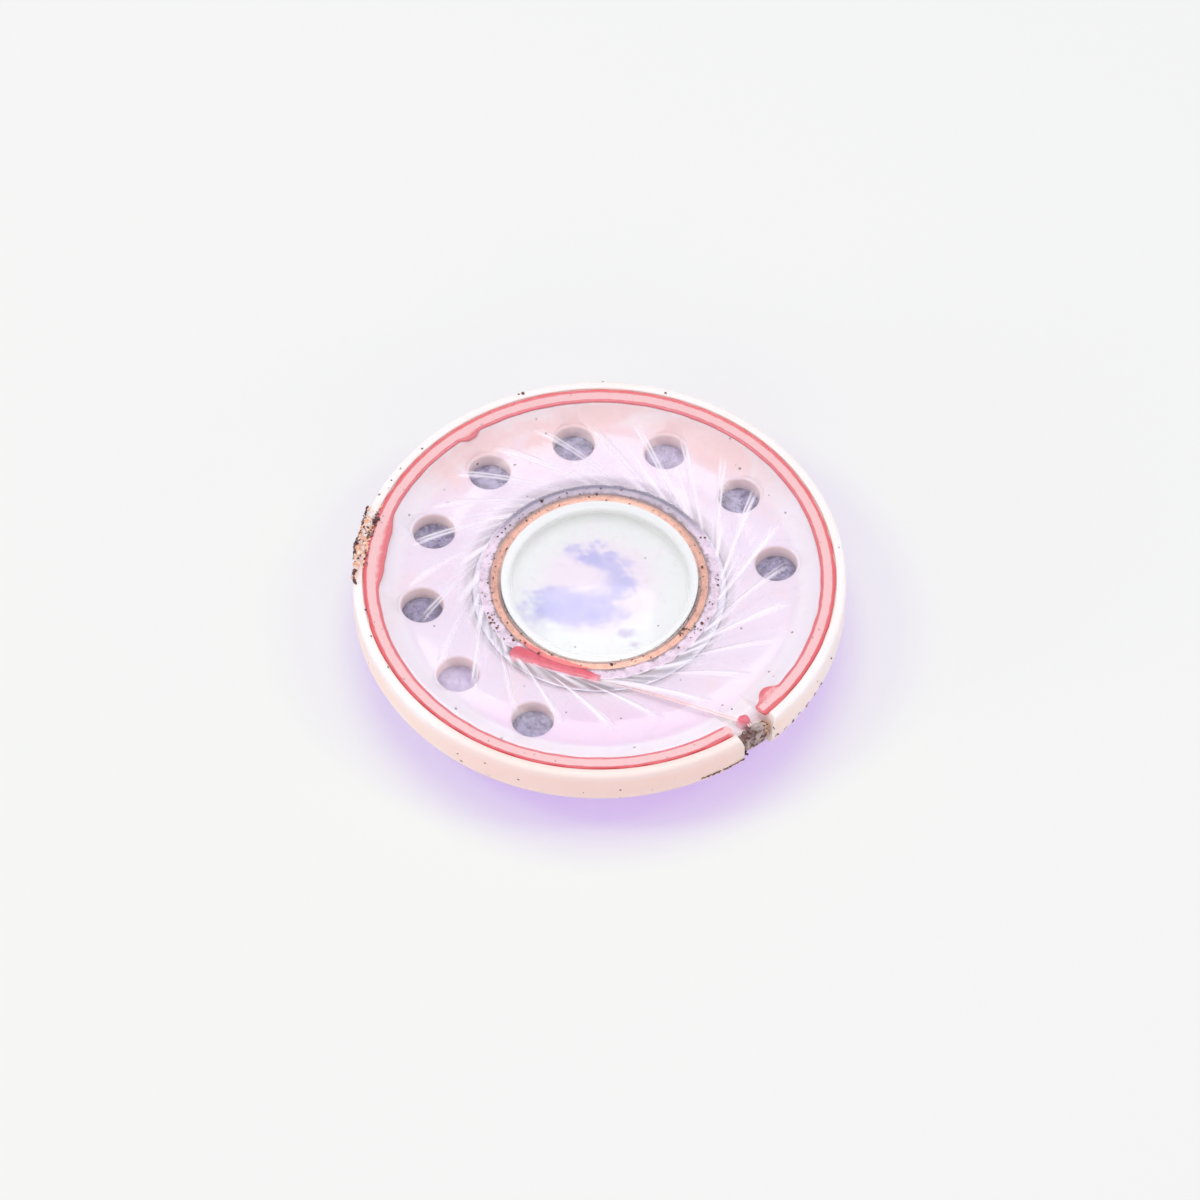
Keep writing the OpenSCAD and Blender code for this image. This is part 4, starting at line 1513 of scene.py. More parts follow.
@dataclass
class MagnetSystem:
    """Steel cup, magnet, pole plate, and the glue that holds the cup."""

    columns: int = 256
    face_rows: int = 90
    bead_rows: int = 9
    edge_r: float = 0.5
    base: float = 1.0
    bead: float = 0.6
    pole_r: float = 0.05
    ring_in_r: float = 3.2
    ring_out_r: float = 3.7
    ring_slope: float = 0.1
    ring_h: float = 0.06

    def cup(self) -> Shell:
        """Cup turned from its section, with a shallow ring pressed into its back.

        Returns:
            The cup.
        """
        lv = LEVELS
        section = rounded([
            (self.pole_r, 0.0, 0), (self.ring_in_r, 0.0, 0),
            (self.ring_in_r + self.ring_slope, self.ring_h, 0.05),
            (self.ring_out_r - self.ring_slope, self.ring_h, 0.05), (self.ring_out_r, 0.0, 0.05),
            (lv.yoke_r, 0.0, self.edge_r), (lv.yoke_r, lv.yoke_h, 0.12), (lv.yoke_in_r, lv.yoke_h, 0.12),
            (lv.yoke_in_r, self.base, 0.2), (self.pole_r, self.base, 0),
        ], closed=False, steps=5)
        return capped(turned_grid(section, around(self.columns)))

    def plate(self) -> Shell:
        """Pole plate with a fine net on its face, which carries the painted reflection and the marks at each
        point.

        In the view's own axes, u to the right and v away from the camera, the painted reflection is a
        crescent from (-3.2, 3.0) over the right side and a patch round (-2.3, -1.9); two small marks lie
        near the edge.

        Returns:
            The plate, with the values stain and mark.
        """
        lv = LEVELS
        rim = rounded([
            (0.04, lv.plate_z, 0), (lv.plate_r, lv.plate_z, 0.1), (lv.plate_r, lv.plate_top_z, 0.16),
            (lv.plate_r - 0.6, lv.plate_top_z, 0),
        ], closed=False)
        face_r = np.linspace(lv.plate_r - 0.62, 0.04, self.face_rows)
        face = np.stack([face_r, np.full(self.face_rows, lv.plate_top_z)], axis=1)
        points = turned_grid(np.concatenate([rim, face]), around(self.columns))
        cos, sin = math.cos(math.radians(VIEW_TURN)), math.sin(math.radians(VIEW_TURN))
        u = points[..., 0] * cos - points[..., 1] * sin
        v = points[..., 0] * sin + points[..., 1] * cos
        wave = 0.07 * lumps(points, 5, 2.2) + 0.05 * lumps(points, 6, 0.8)

        def spot(u0: float, v0: float, wide: float, deep: float, rim: float, full: float) -> Array:
            """Share by the oval distance |((u - u0) / wide, (v - v0) / deep)|, 0 at rim and 1 at full."""
            return smooth(np.hypot((u - u0) / wide, (v - v0) / deep) + wave, rim, full)

        # Painted reflection: the crescent and the patch mark where the plate mirrors darker surroundings.
        above = smooth(v + 0.55 * u + wave, 0.7, 1.9)
        right = smooth(u + wave, -0.6, 1.3) * smooth(v + wave, -3.6, -1.0)
        crescent = spot(-0.9, 0.4, 3.6, 3.3, 1.2, 0.65) * np.maximum(above, right)
        patch = spot(-2.0, -2.1, 4.8, 2.3, 1.2, 0.35)
        marks = np.maximum(spot(1.9, -4.3, 1.1, 0.8, 1.2, 0.0), spot(2.5, -5.4, 0.9, 0.5, 1.2, 0.0))
        top = points[..., 2] > lv.plate_top_z - 0.01
        return capped(points, {"stain": np.maximum(crescent, patch) * top, "mark": marks * top})

    def bead_ring(self) -> Shell:
        """Glue bead in the corner behind the collar: a hollow fillet whose leg swells by 8 percent or so.

        Its face lies leg t^1.8 out from the cup and leg (1 - t)^1.8 down from the collar.

        Returns:
            The bead.
        """
        lv = LEVELS
        turn = around(self.columns)
        leg = self.bead * (0.93 + 0.06 * ripple(turn, 21, 3, 22))
        t = np.linspace(0, 1, self.bead_rows)[:, None]
        face = polar(lv.yoke_r + leg * t**1.8, turn, lv.collar_z - leg * (1 - t) ** 1.8)
        corner = turned_grid(np.array([[lv.yoke_r, lv.collar_z]]), turn)
        return looped(np.concatenate([face, corner]))

    def build(self, frame: dict[str, dict]) -> None:
        """Makes the cup, the plate and the bead, and dresses the magnet and its glue.
        """
        new_piece("steel_cup", self.cup(), SpunSteel(), ("yoke_cup",))
        new_piece("bright_pole_plate", self.plate(), PlateSteel(), ("pole_plate",))
        new_piece("cup_glue_bead", self.bead_ring(), AmberGlue(), ("yoke_adhesive",))
        dress_node(frame, "magnet", Plating())
        dress_node(frame, "magnet_adhesive", AmberGlue())
        dress_node(frame, "plate_adhesive", AmberGlue())


@dataclass
class VoiceCoil:
    """Wound coil, the aged glue round its top, and the red dab that ties the leads to it."""

    columns: int = 144
    turns: int = 54
    samples: int = 5
    groove: float = 0.025
    glue_columns: int = 360
    smear_rows: int = 9
    dab_columns: int = 20
    dab_rows: int = 48
    smear_r: float = 8.83
    smear_t: float = 0.05
    foot_h: float = 0.3
    foot_w: float = 0.26
    give: float = 0.12
    deepest: float = 0.36
    dab_back: float = 3.2
    dab_front: float = 2.9
    dab_head_w: float = 1.3
    dab_tip_w: float = 0.75
    dab_t: float = 0.35
    cover_half: float = 0.57

    def winding(self) -> Shell:
        """Coil whose outline shows its wires.

        Going round the section, the surface lies groove (1 - |sin(pi (54 s + turn))|) inside it, where s is
        the share of the way round and turn the share of the way round the axis, so each wire climbs by one
        place in a turn.

        Returns:
            The coil.
        """
        lv = LEVELS
        low, high = np.array([lv.coil_in_r, lv.coil_z]), np.array([lv.coil_out_r, lv.seam_z])
        corners = np.array([low, [high[0], low[1]], high, [low[0], high[1]], low])
        length = np.append(0, np.cumsum(np.linalg.norm(np.diff(corners, axis=0), axis=1)))
        s = np.arange(self.turns * self.samples) / (self.turns * self.samples)
        base = np.stack([np.interp(s * length[-1], length, corners[:, k]) for k in (0, 1)], axis=1)
        place = (base - (low + high) / 2) / ((high - low) / 2)
        inward = -np.sign(place) * (np.abs(place) > 0.999)
        inward = inward / np.maximum(np.linalg.norm(inward, axis=1), 1)[:, None]
        turn = around(self.columns)
        dip = self.groove * (1 - np.abs(np.sin(math.pi * (self.turns * s[:, None] + turn / FULL_TURN))))
        return looped(turned_grid(base, turn, dip * inward[:, :1], dip * inward[:, 1:]))

    def seam_ring(self) -> Shell:
        """Glue between coil and film: a fillet down the coil's side and a smear under the seam.

        The smear's outer edge lies at smear_r plus a ripple, and its underside rises and falls by a ripple.
        Over the dab the glue gives way by up to the amount give.

        Returns:
            The glue.
        """
        lv = LEVELS
        turn = around(self.glue_columns)
        edge = np.clip(self.smear_r + 0.04 * ripple(turn, 31, 7, 60), 8.7, lv.surround_in_r)
        drop = self.foot_h + 0.05 * ripple(turn, 32, 5, 40)
        width = self.foot_w + 0.05 * ripple(turn, 33, 5, 40)
        thin = self.smear_t + 0.01 * ripple(turn, 34, 9, 60)
        top = lv.seam_z - 0.004
        inner = lv.coil_out_r + 0.001
        rows = [(inner + share * (edge - inner), top) for share in np.linspace(0, 0.94, self.smear_rows)] + [
            (edge, top - 0.4 * thin), (edge - 0.03, top - thin), (inner + width, top - thin),
            (inner + 0.4 * width, top - 0.45 * drop), (inner, top - drop),
        ]
        r, z = ring_rows(rows, turn)
        on_top = np.arange(len(rows)) < self.smear_rows
        under = self.cover(r * np.cos(turn), r * np.sin(turn)) * on_top[:, None]
        return looped(polar(r, turn, np.maximum(z - self.give * under, lv.seam_z - self.deepest)))

    def cover(self, x: Array, y: Array) -> Array:
        """Share from 0 to 1 by which places lie over the dab, whose half width shrinks towards its tip.

        Args:
            x: X of the places.
            y: Y of the places.

        Returns:
            Shares, in the shape of x.
        """
        off, along = LEVELS.line_axes(x, y)
        half = self.cover_half - 0.045 * np.clip(along, -self.dab_back, self.dab_front)
        beside = np.abs(off - LEVELS.tangent_r) / half
        return smooth(beside, 1.0, 0.85) * smooth(np.abs(along + 0.28), 3.8, 3.5)

    def dab(self) -> Shell:
        """Long dab under the film, along the leads' line.

        Across it is a squashed oval: half width w sgn(cos a) |cos a|^0.7 and half height 0.5 t |sin a|^0.5,
        w going from the head's to the tip's and closing in a quarter round at each end. It bulges inwards
        behind its tip, where the coil's side stops it.

        Returns:
            The dab, with the value thin.
        """
        lv = LEVELS
        straight = self.dab_back + self.dab_front
        along = np.linspace(0, 1, self.dab_rows) * (straight + 0.5 * (self.dab_head_w + self.dab_tip_w))
        along = (along - self.dab_back - self.dab_head_w / 2)[:, None]
        share = np.clip((along + self.dab_back) / straight, 0, 1)
        half = 0.5 * (self.dab_head_w + (self.dab_tip_w - self.dab_head_w) * share)
        before, after = np.clip(-self.dab_back - along, 0, None), np.clip(along - self.dab_front, 0, None)
        half = np.sqrt(np.clip(half**2 - before**2 - after**2, 1e-4, None))
        half = half * (1 + 0.05 * lumps(along * np.array([1.0, 0, 0]), 9, 1.4, 8)[:, None])
        turn = around(self.dab_columns)
        across = half * power(np.cos(turn), 0.7)
        across = across * (1 + 0.5 * smooth(share, 0.0, 0.3) * (1 - share) * (across < 0))
        deep = np.minimum(self.dab_t / 2, half * 0.9) * power(np.sin(turn), 0.5)
        side = np.sqrt(np.clip((lv.coil_out_r + 0.005) ** 2 - along**2, 0, None))
        off = np.maximum(lv.tangent_r + across, side)
        cos, sin = math.cos(lv.line_turn), math.sin(lv.line_turn)
        z = lv.seam_z - 0.006 - self.dab_t / 2 + deep
        tip = 0.6 * smooth(along + 0 * turn, self.dab_front - 0.6, self.dab_front + 0.3)
        return capped(np.stack([off * cos - along * sin, off * sin + along * cos, z], axis=-1), {"thin": tip})

    def build(self) -> None:
        """Makes the winding, the seam glue and the dab."""
        new_piece("coil_winding", self.winding(), Winding(), ("voice_coil",), Body.COIL, 70)
        new_piece("seam_glue_ring", self.seam_ring(), SeamGlue(), ("coil_adhesive",), Body.COIL)
        new_piece("lead_dab", self.dab(), RedGlue(), ("lead_glue_dab",), Body.COIL, 70)


@dataclass
class Diaphragm:
    """One pressed clear film, dome and ribbed surround together, and the red glue that holds its edge."""

    thickness: float = 0.04
    above_seam: float = 0.003
    fold_blur: float = 0.05
    crease_h: float = 0.009
    swell_h: float = 0.014
    dome_rise: float = 1.1
    roll_rise: float = 0.72
    ribs: int = 24
    rib_h: float = 0.12
    rib_angle: float = 3.2
    rib_slope: float = 1.35
    rib_start: float = 0.4
    rib_end_r: float = 14.4
    glue_columns: int = 720
    gap_half_w: float = 1.27
    glue_in_r: float = 16.15
    glue_out_r: float = 17.23
    gap_shift: float = -0.7
    bulges: tuple[tuple[float, ...], ...] = ((281, 0.64, 4.6, 0.4), (133, 0.42, 13, 6), (88, 0.3, 3.4, 1))

    def rows(self) -> Array:
        """Radii of the net, closer together where the film turns a corner.

        Returns:
            Radii, from the middle outwards.
        """
        lv = LEVELS
        return np.concatenate([
            np.linspace(0.25, 6.3, 15), np.linspace(6.45, lv.coil_in_r + 0.24, 16), np.linspace(7.7, 8.6, 4),
            np.linspace(8.74, 9.6, 9), np.linspace(9.8, 13.8, 22), np.linspace(14.0, 15.7, 9),
            np.linspace(15.85, 16.2, 5), [16.6, 17.0, lv.film_out_r],
        ])

    def columns(self) -> Array:
        """Angles of the net in degrees, closer together on each rib.

        Returns:
            Angles, rib by rib.
        """
        on_rib = np.linspace(-self.rib_start, self.rib_angle + self.rib_start, 13)
        rib = np.concatenate([on_rib, np.linspace(4.6, 13.6, 7)])
        return (np.arange(self.ribs)[:, None] * (360 / self.ribs) + rib).reshape(-1)

    def lower_side(self, r: Array) -> Array:
        """Height of the film's underside without ribs: cap, flat seam, parabola and flat edge, blended.

        Args:
            r: Radii.

        Returns:
            Heights, in the shape of r.
        """
        lv = LEVELS
        ball = (lv.coil_in_r**2 + self.dome_rise**2) / (2 * self.dome_rise)
        dome = lv.seam_z + self.dome_rise - ball + np.sqrt(ball**2 - np.minimum(r, 12) ** 2)
        t = (r - lv.surround_in_r) / (lv.land_in_r - lv.surround_in_r)
        roll = lv.seam_z + (lv.film_rest_z - lv.seam_z) * t + 4 * self.roll_rise * t * (1 - t)
        inner = soft_max(dome, lv.seam_z, self.fold_blur)
        outer = soft_max(roll, np.where(r > 12.5, lv.film_rest_z, lv.seam_z), self.fold_blur)
        edge = np.where(r > lv.film_out_r - 0.4, lv.film_rest_z, outer)
        return np.where(r < 8.1, inner, edge) + self.above_seam

    def milk(self, r: Array, turn: Array, lines: Array, streak: Array) -> Array:
        """How milky the film is at each point.

        It is milky at the dome's foot, as painted light over the dark gap between plate and coil; in
        streaks round the coil, partly creases and partly painted glare (most at the sides of the picture,
        least at its back); along the leads; and in the lines of the ribs, as painted highlights. The glue
        of the dab wets it clear.

        Args:
            r: Radius of each row.
            turn: Angle of each point, in radians.
            lines: Strength of the painted highlights along the ribs' flanks, from 0 to 1.
            streak: Strength of the streaks round the coil, from 0 to 1.

        Returns:
            Shares from 0 to 1.
        """
        view = turn + math.radians(VIEW_TURN)
        right, back = r * np.cos(view), r * np.sin(view)
        # Painted light: a white foot over the dark gap between plate and coil, so the plate seems to fill the
        # coil.
        edge = 7.25 + 0.014 * back
        foot = 0.9 * smooth(np.hypot(right, back + 0.33), 6.3, 7.0) * smooth(r, edge, edge - 0.1)
        # Partly painted glare: the skirt's milk round the coil is strongest at the sides of the view and
        # weakest at its back; the rest stands for creases.
        level = 0.12 + 0.4 * np.abs(np.cos(view)) + 0.28 * smooth(-np.sin(view), 0.2, 0.9)
        skirt = level * smooth(r, 8.72, 8.95) * smooth(r, 10.9, 9.3) * (0.35 + 0.9 * streak)
        x, y = r * np.cos(turn), r * np.sin(turn)
        off, along = LEVELS.line_axes(x, y)
        beside = np.abs(off - LEVELS.tangent_r)
        smear = 0.6 * smooth(beside, 0.36, 0.2) * smooth(along, 2.7, 3.3) * smooth(along, 10.0, 5.5)
        rings = smooth(r, 8.8, 9.0)
        most = np.maximum(np.maximum(foot, skirt), np.maximum(0.66 * lines * rings, smear * rings))
        return np.clip(most * (1 - VoiceCoil().cover(x, y)), 0, 1)

    def film(self) -> tuple[Shell, Array]:
        """Whole film as one thin closed shell, and how far each point follows the coil.

        A column's angle at radius r is its own angle plus acos(tangent radius / r), so that the ribs are
        straight lines tangent to the coil; inside the surround the columns run straight inwards. A rib is
        rib_h (smooth step up, then down) times an envelope along its length, each a little different.
        Fine waves of high order stand for the film's creases.

        Returns:
            The film with the value milk, and shares from 0 at its edge to 1 on the coil.
        """
        lv = LEVELS
        pitch = 360 / self.ribs
        r = self.rows()[:, None]
        phi = np.radians(self.columns())
        turn = phi + np.arccos(lv.tangent_r / np.maximum(r, lv.surround_in_r))
        degrees = np.degrees(phi) + self.rib_start
        rib = np.floor(degrees / pitch).astype(int) % self.ribs
        place = degrees % pitch - self.rib_start
        draws = np.random.default_rng(77)
        tall, reach = draws.uniform(0.75, 1.1, self.ribs)[rib], draws.uniform(-0.45, 0.1, self.ribs)[rib]
        bright = draws.uniform(0.45, 1.0, self.ribs)[rib]
        up = smooth(place, 0, self.rib_slope) * smooth(place, self.rib_angle, self.rib_angle - self.rib_slope)
        envelope = smooth(r, 8.95, 9.7) * smooth(r, self.rib_end_r + reach, self.rib_end_r - 1.6 + reach)
        fine = ripple(phi, 78, 60, 132) * smooth(r, 8.9, 9.6) * smooth(r, 14.6, 11.5)
        broad = ripple(turn, 79, 3, 14, r * 0.6) * smooth(r, 8.9, 10) * smooth(r, 16.1, 14.8)
        fans = 0.3 + smooth(ripple(phi, 80, 2, 5), -0.2, 1.2)
        crease = self.crease_h * fans * fine * (1 - 0.6 * up) + self.swell_h * broad
        low = self.lower_side(r) + self.rib_h * tall * up * envelope + crease
        # Painted highlights: two lines on each rib's flanks stand for the lamps' glints; the fine hairs near
        # the coil are partly creases, partly painted glints.
        lines = np.exp(-((place - 0.8) / 0.62) ** 2) + 0.8 * np.exp(-((place - 2.5) / 0.5) ** 2)
        hairs = smooth(ripple(phi, 83, 30, 80), 0.7, 2.4) * smooth(r, 12.5, 9.2)
        streak = smooth(ripple(phi, 84, 14, 60), -0.6, 1.8)
        milk = self.milk(r, turn, np.maximum(lines * bright * envelope, 0.6 * hairs), streak)
        both = np.concatenate([polar(r, turn, low + self.thickness), polar(r, turn, low)[::-1]])
        shell = capped(both, {"milk": np.concatenate([milk, milk[::-1]])})
        share = smooth(np.hypot(shell.points[:, 0], shell.points[:, 1]), lv.land_in_r, lv.surround_in_r)
        return shell, share

    def glue_ring(self) -> Shell:
        """Red glue under the film's edge, open at the slot.

        Its inner edge lies at glue_in_r plus a ripple, and bulges inwards at three rows; a blob hangs on it
        at row 281. A bulge is a row angle, its depth, and the distances in degrees where it starts and is
        full. The pool value is 1 at both edges and 0 over the ridge; its outer line is wider near the gap,
        and its last end is pale.

        Returns:
            The glue, with the value pool.
        """
        lv = LEVELS
        half = math.degrees(math.asin(self.gap_half_w / lv.ridge_r))
        middle = NOTCH_ANGLE + math.degrees(math.asin(lv.slot_shift / lv.ridge_r)) + self.gap_shift
        turn = np.radians(np.linspace(middle + half, middle + 360 - half, self.glue_columns))
        excess = sum(
            deep * smooth(angle_gap(turn, row), start, full) for row, deep, start, full in self.bulges
        )
        in_r = self.glue_in_r + 0.014 * ripple(turn, 41, 5, 60) - excess
        out_r = np.clip(self.glue_out_r + 0.02 * ripple(turn, 42, 5, 60), 17.18, lv.land_out_r - 0.02)
        step = lv.land_in_r - 0.02
        foot = np.where(in_r < step, lv.land_z - (step - in_r) * 0.42, lv.land_z)
        rest, top, land, ridge = lv.film_rest_z, lv.film_rest_z - 0.004, lv.land_z, lv.ridge_z
        ridge_in, ridge_out = lv.ridge_in_r, lv.ridge_out_r
        gap = np.minimum(np.arange(turn.size), np.arange(turn.size)[::-1]) / turn.size * 360
        outer = 0.2 + 0.75 * smooth(gap, 9.0, 5.0)
        r, z, pool = ring_rows([
            (in_r, foot, 1), (in_r - 0.01, (foot + top) / 2, 1), (in_r + 0.03, top - 0.03, 1),
            (in_r + 0.08, top, 1), (in_r + 0.17, top, 1), (np.maximum(ridge_in, in_r + 0.2), top, 0.25),
            (ridge_in + 0.1, top, 0), (lv.ridge_r, top, 0), (ridge_out - 0.08, top, 0),
            (ridge_out + 0.04, top, outer), (17.03, top, 0.95), (17.08, top, 1), (17.13, rest + 0.045, 1),
            (17.17, rest + 0.05, 1), (out_r - 0.03, rest + 0.02, 1), (out_r, rest - 0.06, 1),
            (out_r, land, 1), (ridge_out, land, 0), (ridge_out, ridge, 0), (ridge_in, ridge, 0),
            (ridge_in, land, 0),
        ], turn)
        pinch = np.sqrt(np.clip(1 - (1 - np.clip(gap, 0, 1)) ** 2, 0.02, 1))
        middle_z = ridge + 0.02
        r = lv.ridge_r + (r - lv.ridge_r) * pinch
        z = np.where(z > middle_z, z, middle_z + (z - middle_z) * pinch)
        first = np.arange(turn.size) < turn.size / 2
        pool = np.where(first, np.maximum(pool, 1 - smooth(gap, 0.4, 1.6)), pool * smooth(gap, 0.0, 2.2))
        return capped(np.swapaxes(polar(r, turn, z), 0, 1), {"pool": pool.T})

    def build(self) -> None:
        """Makes the film, bakes its transform, and makes the glue ring."""
        shell, share = self.film()
        nodes = ("diaphragm_dome", "diaphragm_surround")
        film = new_piece("clear_film", shell, ClearFilm(), nodes, None, 60)
        bend(film)
        new_piece("edge_glue_ring", self.glue_ring(), PooledGlue(), ("diaphragm_glue_ring",), sharp=60)


@dataclass
class Leads:
    """Two enamelled leads, the drop on them, and the sealant in the notch."""

    wire_sides: int = 10
    wire_step: float = 0.12
    drop_columns: int = 28
    drop_rows: int = 12
    lump_columns: int = 72
    lump_rows: int = 44
    radius: float = 0.06
    pitch: float = 0.18
    straight: float = 3.395
    held: float = 14.0
    bow: float = 0.2
    slot_lift: float = 0.38
    board_gap: float = 0.14
    drop_w: float = 1.078
    drop_h: float = 0.76
    drop_y: float = -16.33
    seam_w: float = 0.175
    lump_half: tuple[float, float, float] = (1.2, 0.42, 1.02)
    lump_x: float = 0.51
    lump_y: float = -17.52
    lump_z: float = 5.44
    lump_limit_y: float = -17.9

    def point(self, s: float, off: float, z: float) -> list[float]:
        """Point s along the leads' line from the coil and off outwards from it."""
        turn, r = LEVELS.line_turn, LEVELS.tangent_r + off
        return [r * math.cos(turn) - s * math.sin(turn), r * math.sin(turn) + s * math.cos(turn), z]

    def route(self, side: int) -> Array:
        """Route of one lead, from the coil through the dab to the slot, down the notch and to its joint.

        Over the film's floor its height is that of a straight line plus 4 bow t (1 - t).

        Args:
            side: 1 for lead a and -1 for lead b.

        Returns:
            Points of the route.
        """
        lv = LEVELS
        off, x = -side * self.pitch / 2, lv.lead_offset + side * self.pitch / 2
        run = math.sqrt(lv.ridge_r**2 - lv.tangent_r**2)
        dab_z, slot_z = lv.seam_z - self.seam_w, lv.floor_z + self.slot_lift
        over = [
            self.point(
                self.straight + (run - self.straight) * t, off,
                dab_z + (slot_z - dab_z) * t + 4 * self.bow * t * (1 - t),
            )
            for t in np.linspace(0, 1, 6)
        ]
        back_z = lv.board_z - self.board_gap - self.radius
        joint = at(NOTCH_ANGLE + 16 * side, lv.joint_r, back_z)
        corner = np.array([x, -16.0, back_z])
        way = (corner - joint) / np.linalg.norm(corner - joint)
        return np.array([
            self.point(0, off, dab_z), *over, [x, -17.07, slot_z - 0.12],
            [x, -17.3, (slot_z + lv.floor_back_z) / 2], [x, -17.3, lv.board_z + self.board_gap],
            [x, -17.07, back_z], corner, joint + way * 0.45,
        ])

    def lead(self, side: int, letter: str) -> None:
        """Makes one lead and bakes its transform; the share along its straight run is worked out but not
        used.

        Args:
            side: 1 for lead a and -1 for lead b.
            letter: Its letter.
        """
        floor_z = LEVELS.floor_z
        shell = tube(resampled(self.route(side), self.wire_step), self.radius, self.wire_sides)
        wire = new_piece(f"lead_{letter}", shell, LeadEnamel(), (f"lead_wire_{letter}",), None, 80)
        origin = np.array(self.point(0, 0, 0))
        s = (shell.points - origin) @ (np.array(self.point(1, 0, 0)) - origin)
        share = smooth(s, self.held, self.straight) * (shell.points[:, 2] > floor_z - 0.1)
        bend(wire)

    def drop(self) -> Shell:
        """Round drop in the slot: half a ball, wide across and high, its edge drawn in at the foot.

        Returns:
            The drop, with the value thin.
        """
        lv = LEVELS
        turn = around(self.drop_columns)
        up = np.linspace(0.0, 0.96, self.drop_rows)[:, None] * math.pi / 2
        r = self.drop_w / 2 * np.cos(up) ** 0.8 * (1 + 0.05 * ripple(turn, 61, 2, 6)[None, :] * np.cos(up))
        middle = np.array([lv.lead_offset, self.drop_y, lv.floor_z + 0.002])
        ball = middle + polar(r, turn, self.drop_h * np.sin(up))
        return capped(ball, {"thin": smooth(np.cos(up), 0.62, 0.95)})

    def sealant(self) -> Shell:
        """Crumbly lump that fills the notch: a rounded block (exponent 0.45) with two sizes of noise.

        Returns:
            The lump, with the value pit.
        """
        up = np.radians(np.linspace(-86, 86, self.lump_rows))[:, None]
        way = power(polar(np.cos(up), around(self.lump_columns), np.sin(up)), 0.45)
        half = np.array(self.lump_half)
        middle = np.array([self.lump_x, self.lump_y, self.lump_z])
        block = middle + way * half
        coarse, fine = lumps(block, 51, 0.9), lumps(block, 52, 0.28)
        shrink = 0.08 * np.clip(-coarse, 0, 2) + 0.05 * np.clip(-fine, 0, 2)
        points = middle + way * (half - shrink[..., None] * np.array([1.2, 1.0, 1.2]))
        points[..., 1] = np.maximum(points[..., 1], self.lump_limit_y)
        return capped(points, {"pit": np.clip(0.5 - 0.35 * coarse - 0.3 * fine, 0, 1)})

    def build(self) -> None:
        """Makes the leads, then the drop on them and the sealant."""
        self.lead(1, "a")
        self.lead(-1, "b")
        red = RedGlue("drop_glue", tone(252, 92, 114), tone(230, 56, 84), tone(254, 206, 212))
        new_piece("exit_drop", self.drop(), red, ("exit_glue_drop",), sharp=80)
        new_piece("crumbly_sealant", self.sealant(), Sealant(), ("notch_sealant",), sharp=50)


